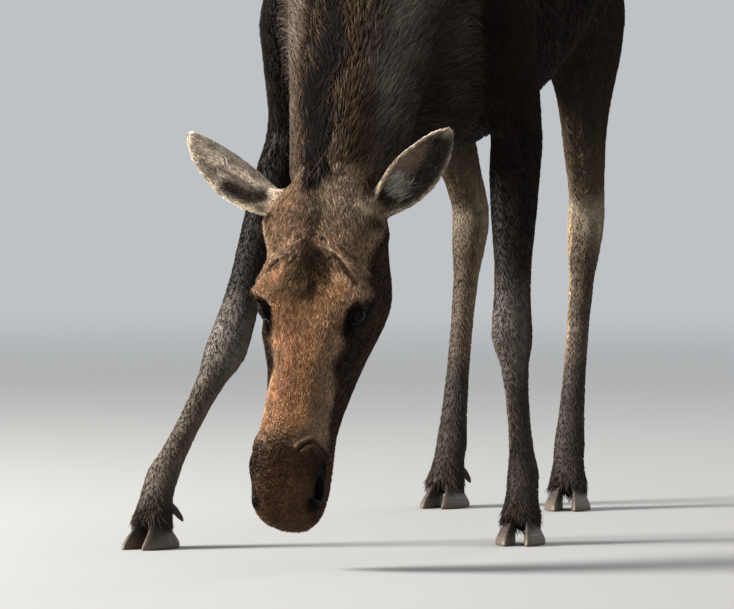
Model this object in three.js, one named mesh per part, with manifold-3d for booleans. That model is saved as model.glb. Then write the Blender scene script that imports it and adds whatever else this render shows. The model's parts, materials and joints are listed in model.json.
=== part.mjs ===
// A cow moose that drinks, as a still, life-size model. The trunk, neck, head and limbs are lofts of
// named body sizes, joined whole and then parted by thin cuts, so that each body part is one solid.
// Millimetres. +Z is up, the moose faces -Y and +X is its left. The origin is on the floor, under the
// middle of the whole model. Until the last step, y is measured from the line between the elbows.
import * as THREE from "three";
import { mergeVertices } from "three/addons/utils/BufferGeometryUtils.js";
import Module from "manifold-3d";

const wasm = await Module();
wasm.setup();

// ---- Driving sizes -------------------------------------------------------------------------------
const GAP = 0.3; // clearance between pieces that touch
const HUMP_HEIGHT = 1652; // top of the shoulder hump above the floor
const CHEST_HEIGHT = 803; // underside of the chest above the floor
const BARREL_HALF = 304; // half the width of the barrel at its fullest
const BUTTOCK = 1322; // rear of the rump behind the elbow line

const POLL = new THREE.Vector3(0, -618, 768); // top of the head, between the ears
const HEAD_LENGTH = 702; // poll to the front of the upper lip
const HEAD_PITCH = THREE.MathUtils.degToRad(22); // the nose stands this far forward of straight down
const HEAD_LEAN = THREE.MathUtils.degToRad(2.1); // and this far to the moose's right
const EYE = { along: 257, out: 91, deep: 53, radius: 20 };

const SIDE = new THREE.Vector3(1, 0, 0);
const UP = new THREE.Vector3(0, 0, 1);
const BACK = new THREE.Vector3(0, 1, 0);

const radians = THREE.MathUtils.degToRad;
const point = (x, y, z) => new THREE.Vector3(x, y, z);

// ---- Lofts -----------------------------------------------------------------------------------------
// Turns a table of stations, each a row of named numbers, into a smooth function of the first name.
function smoothly(stations) {
  const names = Object.keys(stations[0]);
  const places = stations.map((station) => station[names[0]]);
  const values = stations.flatMap((station) => names.map((name) => station[name]));
  const curve = new THREE.CubicInterpolant(places, values, names.length, []);
  return (place) => {
    const found = curve.evaluate(place);
    return Object.fromEntries(names.map((name, i) => [name, found[i]]));
  };
}

// Equal steps between two places, both ends included.
function steps(from, to, count) {
  return Array.from({ length: count + 1 }, (_, i) => from + ((to - from) * i) / count);
}

// A closed oval in the plane of side and up. Its halves above and below the widest line have their own
// heights, and a fullness over 2 squares their corners.
function oval({ centre, side, up, half, above, below = above, fullAbove = 2, fullBelow = fullAbove }, count) {
  return Array.from({ length: count }, (_, i) => {
    const turn = (2 * Math.PI * i) / count;
    const full = Math.sin(turn) >= 0 ? fullAbove : fullBelow;
    const reach = (share) => Math.sign(share) * Math.abs(share) ** (2 / full);
    const height = Math.sin(turn) >= 0 ? above : below;
    return centre
      .clone()
      .addScaledVector(side, half * reach(Math.cos(turn)))
      .addScaledVector(up, height * reach(Math.sin(turn)));
  });
}

// The triangles that close a ring, found in the ring's own plane.
function capOf(ring) {
  const middle = ring.reduce((sum, p) => sum.add(p), point(0, 0, 0)).divideScalar(ring.length);
  const normal = point(0, 0, 0);
  ring.forEach((p, i) => {
    const next = ring[(i + 1) % ring.length];
    normal.add(p.clone().sub(middle).cross(next.clone().sub(middle)));
  });
  normal.normalize();
  const across = ring[0].clone().sub(middle).normalize();
  const along = normal.clone().cross(across);
  const flat = ring.map((p) => {
    const from = p.clone().sub(middle);
    return new THREE.Vector2(from.dot(across), from.dot(along));
  });
  return THREE.ShapeUtils.triangulateShape(flat, []);
}

// A closed surface through rings of equal count, with both ends capped, as a manifold solid.
function loft(rings) {
  const count = rings[0].length;
  const positions = rings.flat().flatMap((p) => [p.x, p.y, p.z]);
  const faces = [];
  for (let r = 0; r + 1 < rings.length; r++) {
    for (let i = 0; i < count; i++) {
      const [a, b] = [r * count + i, r * count + ((i + 1) % count)];
      faces.push([a, b, b + count], [a, b + count, a + count]);
    }
  }
  const last = (rings.length - 1) * count;
  capOf(rings[0]).forEach(([a, b, c]) => faces.push([a, c, b]));
  capOf(rings.at(-1)).forEach(([a, b, c]) => faces.push([last + a, last + b, last + c]));
  return solidOf(positions, faces);
}

// A manifold solid of these triangles, turned so that its faces point out.
function solidOf(positions, faces) {
  const corner = (i) => point(...positions.slice(3 * i, 3 * i + 3));
  const volume = faces.reduce((sum, [a, b, c]) => sum + corner(a).dot(corner(b).cross(corner(c))), 0);
  const outward = volume > 0 ? faces : faces.map(([a, b, c]) => [a, c, b]);
  return new wasm.Manifold(
    new wasm.Mesh({
      numProp: 3,
      vertProperties: new Float32Array(positions),
      triVerts: new Uint32Array(outward.flat()),
    }),
  );
}

// A three.js geometry as a manifold solid.
function solidFrom(geometry) {
  geometry.deleteAttribute("normal");
  geometry.deleteAttribute("uv");
  const merged = mergeVertices(geometry, 1e-3);
  const { array } = merged.getAttribute("position");
  const index = Array.from(merged.index.array);
  const faces = Array.from({ length: index.length / 3 }, (_, i) => index.slice(3 * i, 3 * i + 3));
  return solidOf(Array.from(array), faces);
}

// ---- Trunk -----------------------------------------------------------------------------------------
// Upright sections from the breast to the rump: height of the back line, of the belly and of the widest
// place, and half the width there. A crest under 2 is a ridge, as on the hump.
function makeTrunk() {
  const B = BARREL_HALF;
  const H = HUMP_HEIGHT;
  const C = CHEST_HEIGHT;
  const at = smoothly([
    { y: -318, back: 1190, belly: 985, wide: 1080, half: 60, crest: 2, keel: 2.1 },
    { y: -290, back: 1290, belly: 935, wide: 1085, half: 118, crest: 2, keel: 2.1 },
    { y: -225, back: 1430, belly: 878, wide: 1090, half: 0.56 * B, crest: 2, keel: 2.1 },
    { y: -120, back: 1560, belly: C + 24, wide: 1090, half: 0.74 * B, crest: 1.9, keel: 2.1 },
    { y: 0, back: H - 12, belly: C + 4, wide: 1095, half: 0.84 * B, crest: 1.75, keel: 2.05 },
    { y: 110, back: H, belly: C, wide: 1120, half: 0.89 * B, crest: 1.7, keel: 1.95 },
    { y: 240, back: H - 44, belly: C + 4, wide: 1160, half: 0.95 * B, crest: 1.75, keel: 1.85 },
    { y: 380, back: H - 108, belly: C + 20, wide: 1200, half: B, crest: 1.85, keel: 1.75 },
    { y: 540, back: H - 158, belly: C + 50, wide: 1220, half: B, crest: 1.9, keel: 1.7 },
    { y: 700, back: H - 182, belly: C + 100, wide: 1230, half: 0.94 * B, crest: 1.9, keel: 1.75 },
    { y: 850, back: H - 190, belly: C + 165, wide: 1235, half: 0.83 * B, crest: 1.9, keel: 1.85 },
    { y: 1000, back: H - 198, belly: C + 220, wide: 1240, half: 0.73 * B, crest: 1.9, keel: 2 },
    { y: 1120, back: H - 224, belly: C + 250, wide: 1238, half: 0.65 * B, crest: 2, keel: 2 },
    { y: 1220, back: H - 275, belly: C + 288, wide: 1232, half: 0.5 * B, crest: 2, keel: 2 },
    { y: 1290, back: H - 345, belly: C + 345, wide: 1228, half: 0.31 * B, crest: 2, keel: 2 },
    { y: BUTTOCK, back: H - 400, belly: C + 385, wide: 1224, half: 0.12 * B, crest: 2, keel: 2 },
  ]);
  const places = [-318, -304, ...steps(-280, 1235, 16), 1275, 1305, BUTTOCK];
  return loft(
    places.map((y) => {
      const s = at(y);
      const centre = point(0, y, s.wide);
      const heights = { above: s.back - s.wide, below: s.wide - s.belly };
      const shape = { fullAbove: s.crest, fullBelow: s.keel };
      return oval({ centre, side: SIDE, up: UP, half: s.half, ...heights, ...shape }, 22);
    }),
  );
}

// ---- Neck ------------------------------------------------------------------------------------------
// Sections from the nape to the throat. They fan out from the throat, where the neck bends down.
function makeNeck() {
  const at = smoothly([
    { along: 0, napeY: 40, napeZ: 1640, throatY: -150, throatZ: 850, half: 205 },
    { along: 1, napeY: -110, napeZ: 1596, throatY: -262, throatZ: 888, half: 190 },
    { along: 2, napeY: -238, napeZ: 1468, throatY: -296, throatZ: 880, half: 172 },
    { along: 3, napeY: -348, napeZ: 1290, throatY: -312, throatZ: 842, half: 154 },
    { along: 4, napeY: -438, napeZ: 1098, throatY: -322, throatZ: 792, half: 137 },
    { along: 5, napeY: -522, napeZ: 928, throatY: -346, throatZ: 730, half: 118 },
    { along: 6, napeY: -600, napeZ: 792, throatY: -394, throatZ: 652, half: 100 },
    { along: 7, napeY: -668, napeZ: 660, throatY: -450, throatZ: 560, half: 88 },
  ]);
  return loft(
    steps(0, 7, 8).map((along) => {
      const s = at(along);
      const nape = point(0, s.napeY, s.napeZ);
      const throat = point(0, s.throatY, s.throatZ);
      const up = nape.clone().sub(throat);
      const depth = up.length();
      const centre = throat.clone().lerp(nape, 0.5);
      return oval(
        { centre, side: SIDE, up: up.normalize(), half: s.half, above: depth / 2, fullAbove: 1.9, fullBelow: 2.1 },
        18,
      );
    }),
  );
}

// ---- Head ------------------------------------------------------------------------------------------
// The head's own frame: along runs from the poll to the nose, and face stands out of the forehead.
const FACE = point(0, -Math.cos(HEAD_PITCH), Math.sin(HEAD_PITCH));
const ALONG = point(0, -Math.sin(HEAD_PITCH), -Math.cos(HEAD_PITCH)).applyAxisAngle(FACE, -HEAD_LEAN);
const ACROSS = SIDE.clone().applyAxisAngle(FACE, -HEAD_LEAN);

function onHead(along, out, face) {
  return POLL.clone().addScaledVector(ALONG, along).addScaledVector(ACROSS, out).addScaledVector(FACE, face);
}

// Rounded swellings and hollows of the head, on both sides: where along the head and at which turn round
// it (0 is straight out to the side, 90 the bridge of the nose), how high, and how far they spread.
const HEAD_FORMS = [
  { along: 70, turn: 22, height: 26, length: 30, spread: 20 }, // root of the ear
  { along: 232, turn: 35, height: 31, length: 26, spread: 15 }, // brow over the eye
  { along: 262, turn: 30, height: -17, length: 12, spread: 12 }, // hollow that the eye sits in
  { along: 270, turn: 8, height: 8, length: 24, spread: 12 }, // rim of bone behind the eye
  { along: 225, turn: 90, height: -9, length: 42, spread: 20 }, // dip between the brows
  { along: 316, turn: 0, height: 8, length: 40, spread: 14 }, // cheekbone
  { along: 372, turn: 38, height: -12, length: 38, spread: 15 }, // hollow in front of the eye
  { along: 175, turn: -40, height: 20, length: 50, spread: 22 }, // chewing muscle
  { along: 590, turn: 26, height: 6, length: 40, spread: 20 }, // rim of the nostril
  { along: 592, turn: 4, height: -12, length: 20, spread: 10 }, // nostril
  { along: 545, turn: -32, height: -7, length: 50, spread: 8 }, // line of the mouth
  { along: 575, turn: -90, height: 10, length: 26, spread: 34 }, // chin
  { along: 646, turn: -90, height: -12, length: 20, spread: 34 }, // under the upper lip
  { along: 290, turn: -90, height: -14, length: 80, spread: 18 }, // hollow between the jaws
];

const bell = (distance, width) => Math.exp(-0.5 * (distance / width) ** 2);

function headForm(along, turn) {
  const gap = (a, b) => Math.abs(((a - b + 540) % 360) - 180);
  return HEAD_FORMS.reduce((sum, form) => {
    const near = Math.min(gap(turn, form.turn), gap(180 - turn, form.turn));
    return sum + form.height * bell(along - form.along, form.length) * bell(near, form.spread);
  }, 0);
}

function makeHead() {
  const at = smoothly([
    { along: -60, bridge: -42, jaw: -205, wide: -120, half: 76, flat: 2.1, keel: 2.1 },
    { along: -20, bridge: -10, jaw: -232, wide: -112, half: 92, flat: 2.3, keel: 2.1 },
    { along: 20, bridge: 4, jaw: -250, wide: -106, half: 103, flat: 2.5, keel: 2.1 },
    { along: 80, bridge: 8, jaw: -270, wide: -104, half: 111, flat: 2.7, keel: 2.1 },
    { along: 140, bridge: 4, jaw: -288, wide: -108, half: 114, flat: 2.8, keel: 2.2 },
    { along: 200, bridge: -2, jaw: -298, wide: -112, half: 112, flat: 2.8, keel: 2.3 },
    { along: 260, bridge: -8, jaw: -284, wide: -116, half: 106, flat: 2.7, keel: 2.4 },
    { along: 330, bridge: -14, jaw: -246, wide: -112, half: 94, flat: 2.5, keel: 2.4 },
    { along: 410, bridge: -8, jaw: -204, wide: -104, half: 81, flat: 2.35, keel: 2.4 },
    { along: 490, bridge: 4, jaw: -176, wide: -94, half: 74, flat: 2.4, keel: 2.4 },
    { along: 560, bridge: 8, jaw: -166, wide: -84, half: 78, flat: 2.5, keel: 2.5 },
    { along: 610, bridge: -2, jaw: -164, wide: -80, half: 79, flat: 2.6, keel: 2.5 },
    { along: 650, bridge: -20, jaw: -160, wide: -82, half: 75, flat: 2.6, keel: 2.4 },
    { along: 682, bridge: -46, jaw: -152, wide: -90, half: 61, flat: 2.5, keel: 2.2 },
    { along: 697, bridge: -68, jaw: -140, wide: -98, half: 38, flat: 2.2, keel: 2.1 },
    { along: HEAD_LENGTH, bridge: -88, jaw: -120, wide: -102, half: 14, flat: 2, keel: 2 },
  ]);
  const skull = [...steps(-60, 180, 9), ...steps(198, 318, 8)];
  const muzzle = [...steps(344, 524, 7), ...steps(545, 645, 6), 664, 682, 694, HEAD_LENGTH];
  return loft(
    [...skull, ...muzzle].map((along) => {
      const s = at(along);
      const centre = onHead(along, 0, s.wide);
      const heights = { above: s.bridge - s.wide, below: s.wide - s.jaw };
      const shape = { fullAbove: s.flat, fullBelow: s.keel };
      const ring = oval({ centre, side: ACROSS, up: FACE, half: s.half, ...heights, ...shape }, 26);
      return ring.map((p) => {
        const out = p.clone().sub(centre);
        const turn = THREE.MathUtils.radToDeg(Math.atan2(out.dot(FACE), out.dot(ACROSS)));
        return p.addScaledVector(out.normalize(), headForm(along, turn));
      });
    }),
  );
}

// The eyeball, or the socket that is a little wider.
function makeEye(side, grow = 0) {
  const ball = new THREE.SphereGeometry(EYE.radius + grow, 10, 8);
  const centre = onHead(EYE.along, side * EYE.out, -EYE.deep);
  return solidFrom(ball.translate(centre.x, centre.y, centre.z));
}

// ---- Ears ------------------------------------------------------------------------------------------
// An ear is a leaf of hide rolled round its own long axis: nearly a tube at the root, open in the middle.
// roll is how far it wraps to each side of its back, and reach half its width along the hide.
function makeEar({ root, tip, opening }, grow = 0) {
  const axis = tip.clone().sub(root);
  const length = axis.length();
  axis.normalize();
  const front = opening.clone().addScaledVector(axis, -opening.dot(axis)).normalize();
  const across = axis.clone().cross(front);
  const at = smoothly([
    { share: -0.02, reach: 54, roll: 150, thick: 15, lean: 0 },
    { share: 0.12, reach: 62, roll: 128, thick: 12, lean: 2 },
    { share: 0.32, reach: 67, roll: 92, thick: 10, lean: 4 },
    { share: 0.52, reach: 64, roll: 74, thick: 9, lean: 4 },
    { share: 0.72, reach: 51, roll: 66, thick: 8, lean: 2 },
    { share: 0.88, reach: 34, roll: 58, thick: 7, lean: -2 },
    { share: 0.97, reach: 15, roll: 50, thick: 6.5, lean: -5 },
    { share: 1, reach: 6, roll: 45, thick: 5, lean: -6 },
  ]);
  const onAxis = (share) => root.clone().addScaledVector(axis, share * length + (2 * share - 1) * grow);
  const leaf = loft(
    [...steps(-0.02, 0.9, 8), 0.97, 1].map((share) => {
      const s = at(share);
      const radius = s.reach / radians(s.roll);
      const half = Math.min(s.thick / 2, radius - 1.5) + grow;
      const roll = radians(s.roll) + grow / radius;
      const middle = onAxis(share).addScaledVector(front, s.lean);
      const onArc = (r, angle) =>
        middle
          .clone()
          .addScaledVector(front, radius - s.thick / 2 - r * Math.cos(angle))
          .addScaledVector(across, r * Math.sin(angle));
      const outer = steps(-roll, roll, 6).map((angle) => onArc(radius + half, angle));
      const inner = steps(roll, -roll, 6).map((angle) => onArc(radius - half, angle));
      return [...outer, ...inner];
    }),
  );
  const stem = loft(
    [
      [-0.2, 17],
      [-0.12, 26],
      [-0.02, 30],
      [0.08, 26],
      [0.15, 14],
    ].map(([share, half]) =>
      oval({ centre: onAxis(share), side: across, up: front, half: half + grow, above: half + grow }, 8),
    ),
  );
  return leaf.add(stem);
}

const EARS = {
  left: { root: onHead(26, 94, -66), tip: point(250, -560, 868), opening: point(0.35, -0.95, -0.3) },
  right: { root: onHead(26, -94, -66), tip: point(-296, -562, 858), opening: point(0.1, 0.75, -0.95) },
};

// ---- Legs ------------------------------------------------------------------------------------------
// Sections along a leg, square to it. half is the half width across the leg, and front and rear are how
// far it reaches before and behind its middle line.
function makeLimb(stations, lateral, count, parts, grow = 0) {
  const at = smoothly(stations.map((station, i) => ({ order: i, ...station })));
  const place = (order) => {
    const s = at(order);
    return point(s.x, s.y, s.z);
  };
  const last = stations.length - 1;
  return loft(
    steps(0, last, parts).map((order) => {
      const s = at(order);
      const ahead = place(Math.min(order + 0.05, last)).sub(place(Math.max(order - 0.05, 0))).normalize();
      const side = lateral.clone().addScaledVector(ahead, -lateral.dot(ahead)).normalize();
      const forward = side.clone().cross(ahead).normalize();
      if (forward.dot(BACK) > 0) forward.negate();
      const shape = { half: s.half + grow, above: s.front + grow, below: s.rear + grow, fullAbove: 2.1 };
      const beyond = order === last ? grow : order === 0 ? -grow : 0;
      const centre = place(order).addScaledVector(ahead, beyond);
      return oval({ centre, side, up: forward, ...shape }, count);
    }),
  );
}

// A point between two others, and a leg station there.
const between = (a, b, share) => a.clone().lerp(b, share);
const station = (p, half, front, rear = front) => ({ x: p.x, y: p.y, z: p.z, half, front, rear });

const FEET = {
  front_left: { at: point(266, -22, 0), heading: -6 },
  front_right: { at: point(-452, -322, 0), heading: 14 },
  hind_left: { at: point(136, 968, 0), heading: -8 },
  hind_right: { at: point(-150, 968, 0), heading: 8 },
};
const FETLOCK_HEIGHT = 142;
const PASTERN_SETBACK = 42; // the fetlock stands this far behind the middle of the hooves

// The foot's own directions: toe points ahead along the hooves, and out to the moose's left.
function footFrame({ at, heading }) {
  const toe = BACK.clone().negate().applyAxisAngle(UP, radians(-heading));
  const out = toe.clone().cross(UP).negate();
  return { toe, out, on: (t, o, z) => at.clone().addScaledVector(toe, t).addScaledVector(out, o).setZ(z) };
}

function footStations(foot, size) {
  const { on } = footFrame(foot);
  return [
    station(on(-PASTERN_SETBACK, 0, FETLOCK_HEIGHT), 38 * size, 34 * size, 42 * size),
    station(on(-0.6 * PASTERN_SETBACK, 0, 106), 37 * size, 33 * size, 38 * size),
    station(on(-0.25 * PASTERN_SETBACK, 0, 76), 40 * size, 35 * size, 40 * size),
    station(on(0, 0, 50), 42 * size, 38 * size, 44 * size),
  ];
}

const FORELEGS = {
  left: { side: 1, foot: FEET.front_left, elbow: point(240, 36, 892), knee: point(243, -6, 448) },
  right: { side: -1, foot: FEET.front_right, elbow: point(-236, 22, 862), knee: point(-326, -176, 418) },
};

function makeForeleg({ side, foot, elbow, knee }, grow) {
  const { on } = footFrame(foot);
  const fetlock = on(-PASTERN_SETBACK, 0, FETLOCK_HEIGHT);
  const shin = (share) => between(knee, fetlock, share);
  const arm = (share) => between(elbow, knee, share);
  const stations = [
    station(point(side * 78, 92, 1520), 40, 62, 70),
    station(point(side * 136, 58, 1410), 56, 100, 110),
    station(point(side * 182, 0, 1250), 80, 138, 150),
    station(point(side * 206, -34, 1110), 88, 156, 172),
    station(point(side * 214, -4, 985), 82, 126, 164),
    station(elbow, 59, 82, 114),
    station(arm(0.2), 57, 66, 84),
    station(arm(0.45), 51, 54, 56),
    station(arm(0.72), 41, 42, 44),
    station(arm(0.87), 42, 42, 44),
    station(knee, 47, 46, 46),
    station(shin(0.13), 42, 38, 46),
    station(shin(0.28), 30, 30, 38),
    station(shin(0.55), 26, 27, 34),
    station(shin(0.82), 28, 28, 37),
    ...footStations(foot, 0.97),
  ];
  return makeLimb(stations, SIDE, 10, 23, grow);
}

const HINDLEGS = {
  left: { side: 1, foot: FEET.hind_left, hock: point(136, 1150, 655) },
  right: { side: -1, foot: FEET.hind_right, hock: point(-134, 1150, 655) },
};

function makeHindleg({ side, foot, hock }, grow) {
  const { on } = footFrame(foot);
  const fetlock = on(-PASTERN_SETBACK, 0, FETLOCK_HEIGHT);
  const shin = (share) => between(hock, fetlock, share);
  const stations = [
    station(point(side * 84, 1050, 1396), 46, 120, 110),
    station(point(side * 122, 1050, 1290), 90, 190, 206),
    station(point(side * 136, 1046, 1160), 108, 222, 232),
    station(point(side * 148, 1024, 1040), 94, 205, 210),
    station(point(side * 166, 1008, 940), 64, 134, 140),
    station(point(side * 156, 1046, 850), 52, 92, 98),
    station(point(side * 146, 1104, 762), 45, 60, 62),
    station(point(side * 139, 1142, 696), 42, 52, 62),
    station(hock, 45, 52, 56),
    station(shin(0.12), 41, 46, 50),
    station(shin(0.28), 30, 34, 40),
    station(shin(0.55), 27, 29, 34),
    station(shin(0.82), 30, 29, 36),
    ...footStations(foot, 1),
  ];
  return makeLimb(stations, SIDE, 10, 21, grow);
}

// ---- Hooves ----------------------------------------------------------------------------------------
// pointed is how far a claw narrows to its toe, and cleftSide and outerSide how full each side of it is.
const HOOF = {
  length: 128, half: 23, toeHeight: 62, heelHeight: 38, apart: 27, ahead: 10, splay: 4,
  pointed: 0.42, cleftSide: 0.78, outerSide: 1.08,
};
// A dewclaw starts rootBack behind the fetlock's middle line and ends tipBack behind it, spread outwards.
const DEWCLAW = { length: 58, half: 13, apart: 27, height: 104, rootBack: 26, tipBack: 48, spread: 6 };

// One claw of a cloven hoof: a pointed sole on the floor, narrowing up to the hairline.
function makeHoof(foot, hand) {
  const { toe, out, on } = footFrame(foot);
  const turn = radians(-hand * HOOF.splay);
  const ahead = toe.clone().applyAxisAngle(UP, turn);
  const across = out.clone().applyAxisAngle(UP, turn);
  const middle = on(HOOF.ahead, hand * HOOF.apart, 0);
  const levels = [
    { rise: 0, scale: 1, shift: 0 },
    { rise: 0.1, scale: 1.01, shift: -1 },
    { rise: 0.6, scale: 0.9, shift: -12 },
    { rise: 1, scale: 0.8, shift: -20 },
  ];
  return loft(
    levels.map(({ rise, scale, shift }) =>
      steps(0, 360, 12).slice(0, -1).map((angle) => {
        const [c, s] = [Math.cos(radians(angle)), Math.sin(radians(angle))];
        const narrow = 1 - HOOF.pointed * Math.max(c, 0) ** 1.5;
        const full = s * hand < 0 ? HOOF.cleftSide : HOOF.outerSide;
        const t = (HOOF.length / 2) * c * scale + shift;
        const rimHeight = THREE.MathUtils.lerp(HOOF.heelHeight, HOOF.toeHeight, (c + 1) / 2);
        return middle
          .clone()
          .addScaledVector(ahead, t)
          .addScaledVector(across, HOOF.half * s * narrow * full * scale)
          .setZ(rise * rimHeight);
      }),
    ),
  );
}

// One of the two small claws behind the pastern.
function makeDewclaw(foot, hand) {
  const { toe, out, on } = footFrame(foot);
  const { apart, height, length, rootBack, tipBack, spread } = DEWCLAW;
  const root = on(-PASTERN_SETBACK - rootBack, hand * apart, height);
  const tip = on(-PASTERN_SETBACK - tipBack, hand * (apart + spread), height - length);
  const axis = tip.clone().sub(root).normalize();
  const side = out.clone().addScaledVector(axis, -out.dot(axis)).normalize();
  const forward = toe.clone().addScaledVector(axis, -toe.dot(axis)).normalize();
  const shape = [
    [0, 0.8],
    [0.4, 1.05],
    [0.8, 0.8],
    [1, 0.3],
  ];
  return loft(
    shape.map(([share, width]) => {
      const centre = root.clone().lerp(tip, share);
      return oval({ centre, side, up: forward, half: DEWCLAW.half * width, above: 0.8 * DEWCLAW.half * width }, 6);
    }),
  );
}

// ---- Tail and bell ---------------------------------------------------------------------------------
// The short flat tail, and the flap of skin that hangs from the throat, both plain drops of hide.
function makeDrop(stations, grow = 0) {
  return makeLimb(stations, SIDE, 8, 6, grow);
}

const TAIL = [
  station(point(0, 1222, 1366), 28, 16),
  station(point(0, 1284, 1340), 32, 17),
  station(point(0, 1318, 1304), 30, 15),
  station(point(0, 1331, 1268), 21, 11),
  station(point(0, 1334, 1242), 8, 5),
];

const BELL = [
  station(point(0, -402, 712), 16, 40),
  station(point(0, -388, 652), 18, 40),
  station(point(0, -378, 596), 17, 34),
  station(point(0, -374, 548), 13, 24),
  station(point(0, -373, 512), 5, 8),
];

// ---- Assembly --------------------------------------------------------------------------------------
// The side of a solid that the normal points to, past a plane through a point, half a gap away from it.
function cutBy(solid, through, normal) {
  return solid.trimByPlane([normal.x, normal.y, normal.z], through.dot(normal) + GAP / 2);
}

const COLOURS = {
  black_coat: { color: 0x1d1816, roughness: 0.62 },
  brown_coat: { color: 0x5f4635, roughness: 0.68 },
  neck_coat: { color: 0x3a2c24, roughness: 0.66 },
  leg_coat: { color: 0x4a4038, roughness: 0.7 },
  ear_coat: { color: 0x75655a, roughness: 0.75 },
  horn: { color: 0x2a2522, roughness: 0.45 },
  eye: { color: 0x0c0908, roughness: 0.05 },
};

const moose = new THREE.Group();

function add(name, solid, finish) {
  const { vertProperties, triVerts } = solid.getMesh();
  const geometry = new THREE.BufferGeometry();
  geometry.setAttribute("position", new THREE.BufferAttribute(vertProperties, 3));
  geometry.setIndex(new THREE.BufferAttribute(triVerts, 1));
  geometry.computeVertexNormals();
  const mesh = new THREE.Mesh(geometry, new THREE.MeshStandardMaterial({ metalness: 0, ...COLOURS[finish] }));
  mesh.name = name;
  moose.add(mesh);
}

// The torso is joined whole, and what is set into it is cut out with a gap all round.
let body = makeTrunk().add(makeNeck()).add(makeHead());
for (const [name, ear] of Object.entries(EARS)) {
  body = body.subtract(makeEar(ear, GAP));
  add(`ear_${name}`, makeEar(ear), "ear_coat");
}
for (const [name, side] of [["left", 1], ["right", -1]]) {
  body = body.subtract(makeEye(side, GAP));
  add(`eye_${name}`, makeEye(side), "eye");
}
for (const [make, legs, word] of [[makeForeleg, FORELEGS, "foreleg"], [makeHindleg, HINDLEGS, "hindleg"]]) {
  for (const [name, leg] of Object.entries(legs)) {
    const flesh = make(leg, 0);
    const grown = make(leg, GAP);
    body = body.subtract(grown);
    add(`${word}_${name}`, flesh, "leg_coat");
    for (const [claw, hand] of [["inner", -leg.side], ["outer", leg.side]]) {
      add(`hoof_${word}_${name}_${claw}`, makeHoof(leg.foot, hand).subtract(grown), "horn");
      add(`dewclaw_${word}_${name}_${claw}`, makeDewclaw(leg.foot, hand).subtract(grown), "horn");
    }
  }
}
body = body.subtract(makeDrop(TAIL, GAP)).subtract(makeDrop(BELL, GAP));
add("tail", makeDrop(TAIL), "black_coat");
add("bell", makeDrop(BELL), "black_coat");

// Two thin cuts part the torso: across the root of the neck, and behind the ears.
const NECK_ROOT = { through: point(0, -200, 1250), ahead: point(0, -0.93, -0.37).normalize() };
const HEAD_ROOT = { through: point(0, -585, 800), ahead: point(0, -0.5, -0.86).normalize() };
const behind = (plane) => plane.ahead.clone().negate();
add("trunk", cutBy(body, NECK_ROOT.through, behind(NECK_ROOT)), "black_coat");
const front = cutBy(body, NECK_ROOT.through, NECK_ROOT.ahead);
add("neck", cutBy(front, HEAD_ROOT.through, behind(HEAD_ROOT)), "neck_coat");
add("head", cutBy(front, HEAD_ROOT.through, HEAD_ROOT.ahead), "brown_coat");

// The origin goes under the middle of the whole model.
const box = new THREE.Box3().setFromObject(moose);
const middle = box.getCenter(point(0, 0, 0));
moose.position.set(-middle.x, -middle.y, 0);

export default moose;
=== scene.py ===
# %% [markdown]
# # A cow moose with her nose down to the water
# This is a still, life-size moose, as a natural history museum shows one. The solids that the animal
# was built from come first: they give every size and place here. Over them goes one skin without a
# seam, and over the skin a coat of real tufts, because a coat is what makes fur look like fur: its
# edge is soft, its hairs catch the light in streaks, and its colours mix hair by hair.
# Everything is in metres. The animal faces -Y, its left side is +X, and the floor is at z = 0.

import json
import math

import bpy
import numpy as np
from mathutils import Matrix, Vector
from mathutils.bvhtree import BVHTree

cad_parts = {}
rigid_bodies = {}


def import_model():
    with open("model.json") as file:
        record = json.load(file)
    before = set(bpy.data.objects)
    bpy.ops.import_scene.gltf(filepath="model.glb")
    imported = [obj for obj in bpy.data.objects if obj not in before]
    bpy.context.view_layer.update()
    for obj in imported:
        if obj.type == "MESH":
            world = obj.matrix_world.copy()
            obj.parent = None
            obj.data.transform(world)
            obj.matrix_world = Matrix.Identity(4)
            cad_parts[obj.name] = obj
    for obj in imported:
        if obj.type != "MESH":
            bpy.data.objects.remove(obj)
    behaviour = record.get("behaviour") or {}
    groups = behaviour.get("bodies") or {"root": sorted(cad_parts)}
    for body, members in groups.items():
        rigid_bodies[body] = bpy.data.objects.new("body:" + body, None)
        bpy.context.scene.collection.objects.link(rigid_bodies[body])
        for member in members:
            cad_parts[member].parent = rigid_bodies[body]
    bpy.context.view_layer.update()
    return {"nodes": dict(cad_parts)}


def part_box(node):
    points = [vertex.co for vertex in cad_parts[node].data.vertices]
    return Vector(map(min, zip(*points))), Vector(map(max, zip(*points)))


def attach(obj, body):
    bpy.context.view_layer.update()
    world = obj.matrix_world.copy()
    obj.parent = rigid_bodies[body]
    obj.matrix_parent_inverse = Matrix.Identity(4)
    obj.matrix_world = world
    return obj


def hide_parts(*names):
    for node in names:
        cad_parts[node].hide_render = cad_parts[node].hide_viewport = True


for left_over in list(bpy.data.objects):
    bpy.data.objects.remove(left_over)
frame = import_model()
nodes = frame["nodes"]

# %% [markdown]
# ## Small tools for shapes
# A body is easiest to shape as plain arrays: one row of x, y and z for each corner. A soft step and a
# soft bump do most of the modelling, because flesh has no hard edges.

# %% Soft steps, bumps and directions
def soft_step(value, low, high):
    """0 below low, 1 above high, and smooth between them."""
    share = np.clip((value - low) / (high - low), 0, 1)
    return share * share * (3 - 2 * share)


def soft_bump(distance, width):
    """1 where distance is 0, fading out over about two widths."""
    return np.exp(-0.5 * (distance / width) ** 2)


def unit(vectors):
    """The same directions with length 1."""
    return vectors / np.maximum(np.linalg.norm(vectors, axis=-1, keepdims=True), 1e-9)


def flattened(vectors, normals):
    """The part of each vector that lies in the surface, with length 1."""
    return unit(vectors - (vectors * normals).sum(-1, keepdims=True) * normals)


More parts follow.
